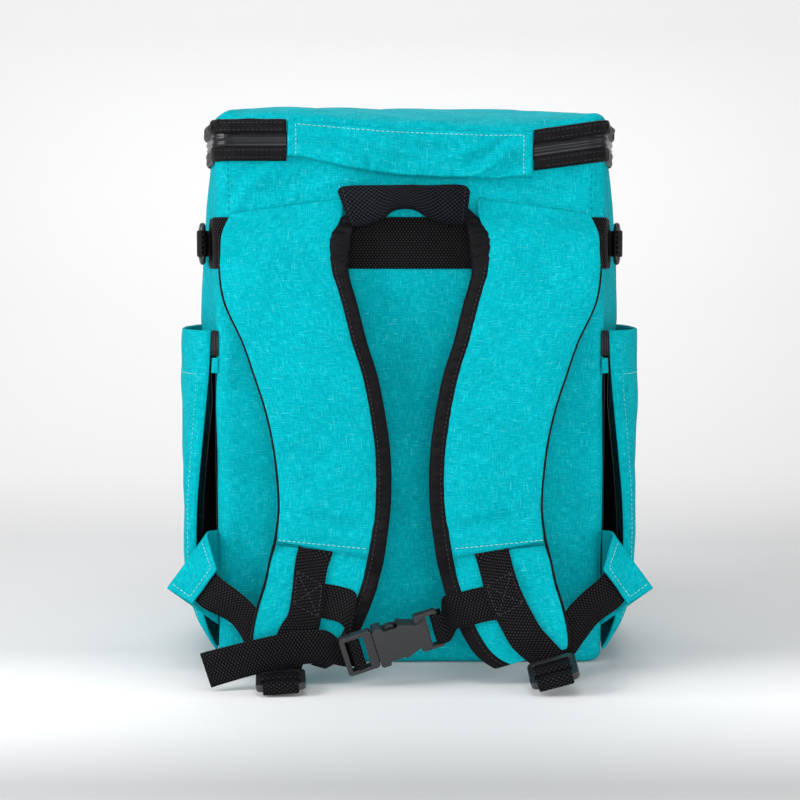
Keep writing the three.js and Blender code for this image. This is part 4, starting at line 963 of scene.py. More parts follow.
@dataclass
class Closure(Assembly):
    """The zip round the rim, between a binding on the tub and one on the lid.

    Attributes:
        steps: Sections round the bag.
    """

    steps: int = 720

    def band(self, name: str, z: np.ndarray, outer: np.ndarray, inner: float, gather: float,
             seed: int) -> bpy.types.Object:
        """A closed band on the skin, from one end of the fabric hinge round the front to the other.

        Args:
            name: The object's name.
            z: Heights of the section's points.
            outer: Their outsets.
            inner: The outset of its flat back.
            gather: Millimetres by which its cloth is gathered into waves.
            seed: Which waves.
        """
        turns = self.turns(0)
        waves = gather * soft_noise(turns[:, None] * 26, z[None, :] / 14, seed)
        waves = waves + gather * 0.6 * soft_noise(turns[:, None] * 9, z[None, :] / 30, seed + 1)
        middle = np.sin(np.linspace(0, math.pi, len(z)))
        lift = relief(RIM, turns)[:, None] * 0.4
        front = skin(z[None, :] + 0.5 * gather * soft_noise(turns[:, None] * 12, 0 * z[None, :], seed + 2),
                     turns[:, None], outer[None, :] + waves * middle[None, :] + lift)
        back = skin(z[None, :], turns[:, None], inner + lift)
        return slab(name, settled(front), settled(back), 60)

    def turns(self, margin: float) -> np.ndarray:
        """Turns from a margin past one end of the hinge to the other, closer together in the corners."""
        ends = float(turn_at(HINGE_HALF + 2 * CLEAR)) + margin
        plain = np.linspace(0, 4, 40 * self.steps // 4)
        weight = 1 + 6 * (np.abs(np.abs(((plain + 0.5) % 1) - 0.5) - 0.5) < 0.1)
        total = np.concatenate([[0], np.cumsum(weight[1:])])
        spread = np.interp(np.linspace(0, total[-1], self.steps), total, plain)
        inside = spread[(spread > ends + 0.002) & (spread < 4 - ends - 0.002)]
        return np.concatenate([[ends], inside, [4 - ends]])

    def build(self) -> None:
        """The coated tape with its two lips, both bindings, and two rows of stitches on each."""
        z = np.linspace(*ZIP_HEIGHTS, 21)
        lips = sum(1.1 * np.exp(-(((z - ZIP_MIDDLE - way * 2.2) / 1.7) ** 2)) for way in (-1, 1))
        groove = -0.7 * np.exp(-(((z - ZIP_MIDDLE) / 0.6) ** 2))
        tape = self.band("coated_zip", z, 1.35 + lips + groove, 0.35, 0.08, 41)
        self.keep(tape, COATED, Slot.ZIP, "zip_tape")
        for name, low, gather, node, seed in (("lower_binding", 375.0, 0.35, "tub_binding", 51),
                                              ("upper_binding", 395.0, 0.75, "lid_binding", 61)):
            z = low + TAPE_TALL * np.array([0, 0.03, 0.1, 0.25, 0.42, 0.5, 0.58, 0.75, 0.9, 0.97, 1])
            puff = np.array([0, 0.6, 0.95, 1.1, 0.95, 1.0, 0.95, 1.1, 0.95, 0.6, 0])
            obj = self.band(name, z, 1.9 + 1.15 * puff, 1.7, gather, seed)
            self.keep(obj, BINDING, Slot.BLACK, node)
            self.keep(self.seams(name, low), GREY_THREAD, Slot.BLACK)

    def seams(self, name: str, low: float) -> bpy.types.Object:
        """Two rows of stitches round a binding."""
        turns = self.turns(0.008)
        lines = []
        for z in (low + 2.6, low + 7.8):
            points = settled(skin(z, turns, 3.3))
            lines.append((points, unit(points - settled(skin(z, turns, 0.0)))))
        return stitches(f"{name}_stitches", lines, 3.4, 2.3, 0.4)


@dataclass
class Hinge(Assembly):
    """The fabric panel at the back that joins the lid to the tub.

    Attributes:
        rows: Rows from its top to its lower edge.
        columns: Columns across it.
    """

    rows: int = 44
    columns: int = 150
    # Share of the half width, then share of the drop of its lower edge.
    drop: np.ndarray = field(default_factory=lambda: np.array(
        [[-1, 0], [-0.66, 0.34], [-0.33, 0.76], [0, 1], [0.33, 1], [0.66, 1], [1, 0.85]]))
    # Wrinkles, as share of the half width and share of the drop: start, end, half width and height in millimetres.
    folds: tuple = (
        ((0.5, 0.95), (0.94, 0.15), 0.045, 2.6), ((0.4, 0.85), (0.84, 0.05), 0.05, -2.0),
        ((0.64, 1), (1, 0.5), 0.05, -2.2), ((0.1, 0.75), (0.6, 0.3), 0.05, 1.3),
        ((-0.9, 0.15), (-0.35, 0.75), 0.06, 1.5), ((-0.6, 0.2), (0.1, 0.6), 0.06, 1.2),
        ((-0.7, 0.5), (0.0, 0.95), 0.05, -1.2), ((-0.1, 0.3), (0.5, 0.5), 0.07, -1.2),
        ((-1, 0.5), (-0.7, 0.9), 0.05, -1.0), ((0.93, 0.05), (0.97, 0.9), 0.03, 1.2),
        ((-0.3, 0.62), (-0.28, 1.1), 0.018, 1.8), ((-0.34, 0.6), (-0.32, 1.1), 0.02, -1.6),
    )

    def surface(self, across: np.ndarray, down: np.ndarray, extra: float = 0.0) -> np.ndarray:
        """Points of the panel's face at shares of its half width and of its drop."""
        length = 25 + 11 * column(self.drop, across, 1)
        out = CLEAR + 2.6 + 2.2 * smoothstep(down, 0.55, 1.0) + extra
        out = out + 1.25 * sum(fold(across, down, *f) for f in self.folds)
        out = out + 0.45 * soft_noise(across * 4.2, down * 1.6, 71) + 0.25 * soft_noise(across * 9, down * 2, 72)
        edge = np.minimum(smoothstep(1 - np.abs(across), -0.006, 0.014), smoothstep(1 - down, -0.03, 0.06))
        out = CLEAR + 0.7 + (out - CLEAR - 0.7) * (0.35 + 0.65 * edge)
        z = LID_HIGH - 1 - length * down + 0.5 * soft_noise(across * 3, 0 * down, 73) * down
        turn = turn_at(across * HINGE_HALF)
        return settled(skin(z, turn, out + relief(np.minimum(z, RIM), turn) * 0.5))

    def build(self) -> None:
        """The wrinkled panel, its rows of stitches at both ends and along its top."""
        across = np.linspace(-1, 1, self.columns)[None, :]
        across = np.sign(across) * (1 - (1 - np.abs(across)) ** 1.15)
        down = (1 - (1 - np.linspace(0, 1, self.rows)) ** 1.3)[:, None]
        front = self.surface(across + 0 * down, down + 0 * across)
        back = front.copy()
        back[..., 1] += 2.4
        limit = settled(skin(front[..., 2], turn_at(front[..., 0]), CLEAR * 0.5))
        back[..., 1] = np.minimum(back[..., 1], np.maximum(limit[..., 1], front[..., 1] + 0.8))
        obj = slab("hinge_panel", front, back, 50)
        self.keep(obj, TEAL, Slot.TEAL, "lid_hinge_panel")
        self.declare(obj, front, "stretched")
        ways = [(np.full(40, end), np.linspace(0.05, 0.94, 40)) for end in (-0.93, 0.925)]
        ways.append((np.linspace(-0.92, 0.92, 120), np.full(120, 0.07)))
        lines = [(self.surface(across, down, 0.1), TOWARDS_CAMERA) for across, down in ways]
        self.keep(stitches("hinge_stitches", lines, 3.6, 2.6, 0.42), PALE_THREAD, Slot.TEAL)


LOAD_HEIGHT, LOAD_WIDTH, LOAD_REACH = 315.0, 38.0, 0.76


@dataclass
class LoadWebbing(Assembly):
    """The wide webbing across the back panel and onto both sides, with a ring in a loop at each end."""

    def build(self) -> None:
        """The webbing as one closed band, then both rings and their loops."""
        turns = np.linspace(-LOAD_REACH, LOAD_REACH, 420)
        z = LOAD_HEIGHT + LOAD_WIDTH / 2 * np.array([-1, -0.96, -0.7, -0.35, 0, 0.35, 0.7, 0.96, 1])
        thick = TAPE * np.array([0.4, 0.9, 1, 1, 1, 1, 1, 0.9, 0.4])
        lift = relief(z[:, None], turns[None, :])
        out = self.mirrored(z[:, None], turns[None, :], CLEAR + thick[:, None] + lift + 0.2)
        back = self.mirrored(z[:, None], turns[None, :], CLEAR + lift)
        uv = uv_table(z[:, None] - LOAD_HEIGHT, path_length(out[4])[None, :])
        self.keep(slab("wide_webbing", out, back, 50, uv), WEBBED, Slot.WEBBING, "load_webbing")
        for side in Side:
            self.build_ring(side)

    def mirrored(self, z: np.ndarray, turn: np.ndarray, outset: np.ndarray) -> np.ndarray:
        """Points on the skin, with the left side the mirror of the right one."""
        points = skin(z, np.abs(turn), outset)
        points[..., 0] *= np.where(turn < 0, -1, 1)
        return points

    def build_ring(self, side: Side) -> None:
        """A D-shaped ring of round wire in its own axes, and the loop of webbing that holds it."""
        sign = side.value
        wire, half, depth = 4.6, 14.3, 17
        outset = 2 * CLEAR + TAPE + TAPE + wire / 2 + 3.5 * CLEAR
        bar = skin(LOAD_HEIGHT, LOAD_REACH, outset)
        turn = -sign * math.radians(12)
        axis = np.array([[math.cos(turn), -math.sin(turn), 0], [math.sin(turn), math.cos(turn), 0], [0, 0, 1]])
        origin = bar * [sign, 1, 1]
        angle = np.linspace(-math.pi / 2, math.pi / 2, 40)
        arc = np.stack([0 * angle, depth * np.abs(np.cos(angle)) ** 0.85, half * np.sin(angle)], axis=1)
        flat = np.stack([np.zeros(12), np.zeros(12), np.linspace(half, -half, 14)[1:-1]], axis=1)
        outline = np.vstack([arc, flat])
        closed = np.vstack([outline[-6:], outline, outline[:6]])
        smooth = np.stack([np.convolve(closed[:, k], np.ones(5) / 5, "same") for k in range(3)], axis=1)[6:-6]
        path = evenly(np.vstack([smooth, smooth[:1]]), 73)[:-1]
        tangent = unit(np.roll(path, -1, axis=0) - np.roll(path, 1, axis=0))
        outward = np.cross(tangent, [1.0, 0, 0])
        t = np.linspace(0, 2 * math.pi, 13)[:-1]
        section = (np.cos(t)[None, :, None] * outward[:, None] + np.sin(t)[None, :, None] * np.array([1.0, 0, 0]))
        rings = (path[:, None] + section * wire / 2) @ axis.T + origin
        rings = np.concatenate([rings, rings[:1]])
        obj = loft(f"d_ring_{side.word}", rings, "none")
        weld(obj)
        self.keep(obj, ACETAL, Slot.PLASTIC, f"side_ring_{side.word}")
        radius = wire / 2 + 2.6 * CLEAR + TAPE / 2
        path = [(-sign * radius, -15.0), (-sign * radius, -7.5)]
        path += [(sign * radius * math.sin(a), radius * math.cos(a))
                 for a in np.linspace(-math.pi / 2, math.pi / 2, 7)]
        path += [(sign * radius, -7.5), (sign * radius * 0.4, -15.0)]
        stations = [(np.array([x, y, 0.0]) @ axis.T + origin, (0, 0, 1)) for x, y in path]
        self.web(f"loop_{side.word}", stations, 60, f"ring_loop_{side.word}", 20)


# The shoulder straps' rows, as in the CAD: shares of the half width, of the top height and of the standoff.
STRAP_TOP, STANDOFF, PAD_THICK = 349.0, 74.0, 11.0
INNER_BINDING, OUTER_BINDING, BINDING_THICK = 12.0, 2.0, 4.0
TAIL_RECESS, TAIL_THICK, TAIL_WIDTH = 3.6, 3.0, 78.0
# innerX, innerZ, outerX, outerZ, out, thick.
PAD_ROWS = np.array([
    [0.276, 1, 0.918, 0.964, 0.05, 0.14], [0.269, 0.968, 0.938, 0.946, 0.14, 0.45],
    [0.303, 0.923, 0.959, 0.917, 0.257, 0.85], [0.314, 0.883, 0.962, 0.883, 0.311, 1],
    [0.314, 0.848, 0.962, 0.848, 0.365, 1], [0.266, 0.779, 0.934, 0.779, 0.432, 1],
    [0.214, 0.696, 0.841, 0.696, 0.5, 1], [0.162, 0.628, 0.783, 0.628, 0.541, 1],
    [0.128, 0.559, 0.728, 0.559, 0.581, 1], [0.103, 0.49, 0.69, 0.49, 0.608, 1],
    [0.093, 0.424, 0.669, 0.424, 0.635, 1], [0.097, 0.355, 0.659, 0.355, 0.662, 0.9],
    [0.114, 0.295, 0.672, 0.304, 0.689, 0.6], [0.13, 0.25, 0.677, 0.29, 0.707, 0.4]])
TAIL_ROWS = np.array([
    [0.129, 0.255, 0.68, 0.281, 0.709], [0.145, 0.223, 0.697, 0.258, 0.736], [0.172, 0.183, 0.724, 0.206, 0.784],
    [0.21, 0.143, 0.755, 0.163, 0.845], [0.262, 0.097, 0.779, 0.12, 0.9], [0.324, 0.06, 0.786, 0.092, 0.935],
    [0.414, 0.034, 0.779, 0.077, 0.95]])

# Creases above the pad's hem: from the inner edge outwards and up from the hem, then half width and height.
HEM_FOLDS = (((10, -20), (70, -32), 4.0, -1.6), ((16, -32), (80, -44), 5.0, 1.2), ((40, -60), (84, -84), 7.0, -1.2))


@dataclass
class StrapRows:
    """Rows of one strap: where its two edges run and how far in front of the back panel it is.

    Attributes:
        inner: Places of the inner edge.
        outer: Places of the outer edge.
        front: The front face's y.
        thick: The pad's thickness.
    """

    inner: np.ndarray
    outer: np.ndarray
    front: np.ndarray
    thick: np.ndarray

    @classmethod
    def smooth(cls, table: np.ndarray, side: Side, count: int) -> "StrapRows":
        """Smooth rows through a table's rows, evenly spaced down the strap."""
        if table.shape[1] == 5:
            table = np.hstack([table, np.ones((len(table), 1))])
        ordered = table[:, [0, 1, 4, 2, 3, 5]] * [WIDTH / 2, STRAP_TOP, STANDOFF, WIDTH / 2, STRAP_TOP, PAD_THICK]
        rows = smooth_path(ordered, count)
        sign = side.value
        inner, outer = (np.stack([sign * rows[:, k], np.zeros(count), rows[:, k + 1]], axis=1) for k in (0, 3))
        return cls(inner, outer, -DEPTH / 2 - rows[:, 2], rows[:, 5])

    @property
    def width(self) -> np.ndarray:
        """Widths of the rows."""
        return np.linalg.norm(self.outer - self.inner, axis=1)

    def between(self, share: np.ndarray) -> np.ndarray:
        """Distances from the inner edge, at shares of the way from just under one binding to under the other."""
        first, last = INNER_BINDING - 1.2, self.width - OUTER_BINDING + 0.4
        return first + (last - first)[:, None] * share[None, :]

    def points(self, distance: np.ndarray, y: np.ndarray) -> np.ndarray:
        """Points at a distance from the inner edge, for all rows by all columns.

        Args:
            distance: Distances, as rows by columns.
            y: Their y, as rows by columns.
        """
        way = (self.outer - self.inner) / self.width[:, None]
        points = self.inner[:, None] + way[:, None] * distance[..., None]
        points[..., 1] = y
        return points


def fullness(share: np.ndarray) -> np.ndarray:
    """How thick the pad is at shares of its width, as a share of its middle's thickness."""
    return 0.34 + 0.66 * (1 - np.abs(2 * share - 1) ** 3) ** 0.62


@dataclass
class Strap(Assembly):
    """One padded shoulder strap: its cover, its tail and both bindings.

    Attributes:
        rows: Rows down the pad.
        columns: Columns across each of its faces.
    """

    rows: int = 190
    columns: int = 34

    def build(self) -> None:
        """Makes the pieces of one strap and its stitches."""
        self.build_pad()
        self.build_tail()
        self.build_bindings()
        self.build_stitches()

    def build_pad(self) -> None:
        """The padded cover: a closed loft, thin at its seams and full between them, a little wrinkled."""
        rows = StrapRows.smooth(PAD_ROWS, self.side, self.rows)
        t = (1 - np.cos(np.linspace(0, math.pi, self.columns))) / 2
        distance = rows.between(t)
        full, thick = fullness(t)[None, :], rows.thick[:, None]
        down = path_length(rows.inner)[:, None]
        soft = 0.55 * soft_noise(distance / 60, down / 75, 81 + self.side.value)
        soft = soft + 0.22 * soft_noise(distance / 20, down / 26, 83)
        soft = soft + sum(fold(distance, down - down[-1, 0] + 0 * distance, *f) for f in HEM_FOLDS)
        seam = 1.5 * np.exp(-((down - 9) / 4.0) ** 2) - 0.8 * np.exp(-((down - 24) / 9.0) ** 2)
        puffs = np.exp(-(((t[None, :] - 0.04) / 0.07) ** 2))
        puffs = 0.35 * puffs * np.sin(down / 3.3 + 2 * soft_noise(down / 40, distance / 50, 85))
        push = (soft + puffs) * (0.35 + 0.65 * full) * np.minimum(thick / PAD_THICK * 1.4, 1) - seam * full * 0.6
        hem = smoothstep(down, down[-1, 0] - 3.5, down[-1, 0]) * 1.2
        front = rows.points(distance, rows.front[:, None] + thick * (1 - full) / 2 - push + hem)
        back = rows.points(distance, rows.front[:, None] + thick * (1 + full) / 2)
        uv = uv_table(distance * self.side.value, down)
        obj = slab(self.sided("strap_cover"), front, back, 60, uv)
        self.keep(obj, TEAL, Slot.TEAL, self.sided("strap_pad"))

    def build_tail(self) -> None:
        """The flat tail under the pad's hem."""
        rows = StrapRows.smooth(TAIL_ROWS, self.side, 80)
        t = np.linspace(0, 1, 22)
        distance = rows.between(t)
        down = path_length(rows.inner)[:, None]
        soft = 0.5 * soft_noise(distance / 40, down / 34, 91 + self.side.value) * np.sin(math.pi * t)[None, :]
        y = rows.front[:, None] + TAIL_RECESS + 0.3 * (1 - np.sin(math.pi * t)[None, :] ** 0.5) - soft
        front = rows.points(distance, y)
        back = rows.points(distance, y + TAIL_THICK)
        uv = uv_table(distance * self.side.value, down)
        obj = slab(self.sided("tail_cloth"), front, back, 50, uv)
        self.keep(obj, TEAL, Slot.TEAL, self.sided("strap_tail"))
        self.declare(obj, front, "stretched")

    def edge_rows(self) -> StrapRows:
        """Rows of both bindings, from under the handle's foot to the end of the tail."""
        thick = (2 * TAIL_RECESS + TAIL_THICK) / PAD_THICK
        tail = np.hstack([TAIL_ROWS[1:], np.full((len(TAIL_ROWS) - 1, 1), thick)])
        start = np.array([[0.2, 0.985, 0.85, 0.95, 0.1, 0.3], [0.262, 0.955, 0.88, 0.93, 0.14, 0.4]])
        return StrapRows.smooth(np.vstack([start, PAD_ROWS[2:], tail]), self.side, 320)

    def build_bindings(self) -> None:
        """Both bindings as flattened tubes over the edges. The wide one is gathered where the strap bends most."""
        rows = self.edge_rows()
        down = path_length(rows.inner)[:, None]
        middle = rows.front[:, None] + rows.thick[:, None] / 2
        t = np.linspace(0, 2 * math.pi, 25)[:-1][None, :]
        curve = np.exp(-(((down - 32) / 19) ** 2))
        slant = down + 3.0 * np.cos(t)
        folds = 0.65 * curve * np.sin(2 * math.pi * slant / 6.5 + 1.5 * soft_noise(down / 14, 0 * t, 98))
        folds = folds + 0.3 * soft_noise(down / 11, t / 2.4 + 0 * down, 95)
        folds = folds + 0.22 * soft_noise(down / 5, t / 3 + 0 * down, 96)
        facing = np.clip(-np.sin(t), 0, 1)
        half = BINDING_THICK / 2 + 0.8 + 1.3 * curve + folds * facing
        reach = INNER_BINDING / 2 + 2.6 * curve + 0.04 * folds
        distance = INNER_BINDING / 2 + signed_power(np.cos(t), 0.7) * reach
        y = middle + signed_power(np.sin(t), 0.6) * half
        rings = rows.points(distance, y)
        obj = loft(self.sided("wide_binding"), rings)
        self.keep(obj, BINDING, Slot.BLACK, self.sided("strap_inner_binding"))
        radius = OUTER_BINDING / 2 + 0.15
        t = np.linspace(0, 2 * math.pi, 11)[:-1][None, :]
        wide = radius * (0.55 + 0.45 * smoothstep(down, 20, 70)) + 0.08 * soft_noise(down / 6, 0 * down, 97)
        distance = rows.width[:, None] - OUTER_BINDING / 2 + np.cos(t) * wide
        rings = rows.points(distance, middle + np.sin(t) * (wide + 0.8))
        obj = loft(self.sided("narrow_binding"), rings)
        self.keep(obj, BINDING, Slot.BLACK, self.sided("strap_outer_binding"))

    def build_stitches(self) -> None:
        """The seam of the wide binding in grey, and the pad's hem in pale thread."""
        rows = self.edge_rows()
        middle = rows.front + rows.thick / 2
        y = (middle - BINDING_THICK / 2 - 0.95)[:, None]
        line = rows.points(np.full((320, 1), INNER_BINDING * 0.72), y)[14:-3, 0]
        seam = stitches(self.sided("binding_stitches"), [(line, TOWARDS_CAMERA)], 3.4, 2.2, 0.4)
        self.keep(seam, GREY_THREAD, Slot.BLACK)
        pad = StrapRows.smooth(PAD_ROWS, self.side, self.rows)
        t = np.linspace(0.03, 0.97, 60)
        wide = pad.width[-1] - INNER_BINDING
        length = path_length(pad.inner)
        at = int(np.searchsorted(length, length[-1] - 7.5))
        y = pad.front[at] + pad.thick[at] * (1 - fullness(t)) / 2 - 0.35
        row = StrapRows(*(rows[at:at + 1] for rows in (pad.inner, pad.outer, pad.front, pad.thick)))
        line = row.points((INNER_BINDING + t * wide)[None, :], y[None, :])[0]
        seam = stitches(self.sided("hem_stitches"), [(line, TOWARDS_CAMERA)], 3.6, 2.6, 0.5)
        self.keep(seam, PALE_THREAD, Slot.TEAL)


HANDLE_HALF = 49.0


@dataclass
class Handle(Assembly):
    """The padded carry handle in spacer mesh, flat at its sewn ends."""

    # Share of the half length, then shares of the standoff and thickness, and the heights of its two edges.
    table: np.ndarray = field(default_factory=lambda: np.array([
        [-1, 0.3, 0.4, 352.5, 330], [-0.94, 0.34, 0.65, 355.5, 327], [-0.84, 0.46, 0.8, 356.5, 326.5],
        [-0.6, 0.72, 0.9, 356.5, 328], [-0.36, 0.92, 1, 356.5, 332],
        [-0.18, 0.98, 1, 356.5, 338], [0.12, 1, 1, 356.5, 338.5],
        [0.34, 0.94, 1, 356.5, 333], [0.6, 0.72, 0.9, 357, 329],
        [0.84, 0.46, 0.8, 357, 328], [0.94, 0.34, 0.65, 356, 328.5], [1, 0.3, 0.4, 352.5, 332]]))

    def build(self) -> None:
        """A closed loft of flattened ovals, and a row of stitches at each end."""
        rows = smooth_path(self.table * [HANDLE_HALF, 21.5, 15, 1, 1], 110)
        along, out, thick, top, bottom = rows.T
        tall, rise = top - bottom, (top + bottom) / 2
        t = np.linspace(0, 2 * math.pi, 49)[:-1]
        up = signed_power(np.sin(t), 0.72)[None, :] * tall[:, None] / 2
        deep = signed_power(np.cos(t), 0.72)[None, :] * thick[:, None] / 2
        soft = 0.5 * soft_noise(along[:, None] / 26, t[None, :] * 1.1, 101)
        lean = np.where(along < 0, 5.0, 1.7)
        slant = (np.sign(along) * lean * (np.abs(along) / HANDLE_HALF) ** 3)[:, None] * up / 14
        x = along[:, None] * 0.935 + slant - 3.2
        y = -DEPTH / 2 - out[:, None] - 3 + deep + soft * np.sign(np.cos(t))[None, :]
        z = rise[:, None] + up + soft * 0.5
        rings = np.stack([x, y, z], axis=2)
        obj = loft("mesh_handle", rings, sharp=70)
        self.keep(obj, SPACER, Slot.MESH, "carry_handle")
        lines = []
        for at in (6, 103):
            facing = rings[at][rings[at, :, 1] < rings[at, :, 1].mean()]
            front = facing[np.argsort(facing[:, 2])]
            lines.append((front[1:-1] + [0, -0.3, 0], TOWARDS_CAMERA))
        self.keep(stitches("handle_stitches", lines, 3.2, 2.2, 0.5), GREY_THREAD, Slot.BLACK)


def normals_of(grid: np.ndarray) -> np.ndarray:
    """Unit directions out of a grid of points, from the slopes along its rows and columns."""
    return unit(np.cross(np.gradient(grid, axis=1), np.gradient(grid, axis=0)))


def thick_sheet(name: str, grid: np.ndarray, thickness: float, uv: np.ndarray | None = None,
                edge: float = 0.3) -> bpy.types.Object:
    """A closed sheet about a grid of points, thinner in its outermost millimetre so that its edges look folded.

    Args:
        name: The object's name.
        grid: Points of its middle, as rows by columns by three.
        thickness: Its thickness in millimetres.
        uv: Texture coordinates in metres.
        edge: Share of the thickness that is left at its edges.
    """
    rows, columns = grid.shape[:2]
    across = np.linalg.norm(np.diff(grid, axis=1), axis=2).sum(axis=1).mean()
    along = np.linalg.norm(np.diff(grid, axis=0), axis=2).sum(axis=0).mean()
    u = np.minimum(np.linspace(0, 1, columns), np.linspace(1, 0, columns)) * across
    v = np.minimum(np.linspace(0, 1, rows), np.linspace(1, 0, rows)) * along
    near = np.minimum(u[None, :], v[:, None])
    half = thickness / 2 * (edge + (1 - edge) * smoothstep(near, 0, 1.2))
    lift = normals_of(grid) * half[..., None]
    return slab(name, grid + lift, grid - lift, 50, grid_uv(grid) if uv is None else uv)


def eased(count: int, power: float = 1.4) -> np.ndarray:
    """Shares from 0 to 1, closer together at both ends."""
    t = np.linspace(-1, 1, count)
    return (1 + np.sign(t) * (1 - (1 - np.abs(t)) ** power)) / 2


# The side pockets, as in the CAD: share of the depth from the back hem, then of the projection.
POCKET_PLAN = np.array([[0, 0.3], [0.05, 0.62], [0.15, 0.84], [0.33, 0.97], [0.52, 1], [0.72, 0.88], [0.88, 0.5],
                        [0.96, 0.14], [1, 0.045]])
# Share of the pocket's height, share of the plan's projection, and how much farther the hem stands off.
POCKET_ROWS = np.array([[0.03, 0.1, 0], [0.07, 0.42, 0.05], [0.13, 0.68, 0.12], [0.22, 0.84, 0.2],
                        [0.38, 0.92, 0.22], [0.62, 0.97, 0.12], [0.86, 1, 0.03], [1, 0.97, 0]])
POCKET_HEIGHT, POCKET_OUT, POCKET_BACK, POCKET_FRONT, POCKET_ROUND = 250.0, 33.0, -87.0, 84.0, 190.0
GUSSET_THICK, GUSSET_FOLD, GUSSET_LOW = 1.2, 34.0, 26.0


def side_face(y: np.ndarray, z: np.ndarray) -> np.ndarray:
    """The right side's x at a distance from its middle, round its corners too."""
    flat = DEPTH / 2 - CORNER
    y = np.asarray(y, float)
    over = np.clip(np.abs(y) - flat, 0, CORNER)
    drop = CORNER - np.sqrt(CORNER**2 - over**2)
    return skin(z, 1 + FLAT_SHARE * np.clip(y / flat, -1, 1))[..., 0] - drop


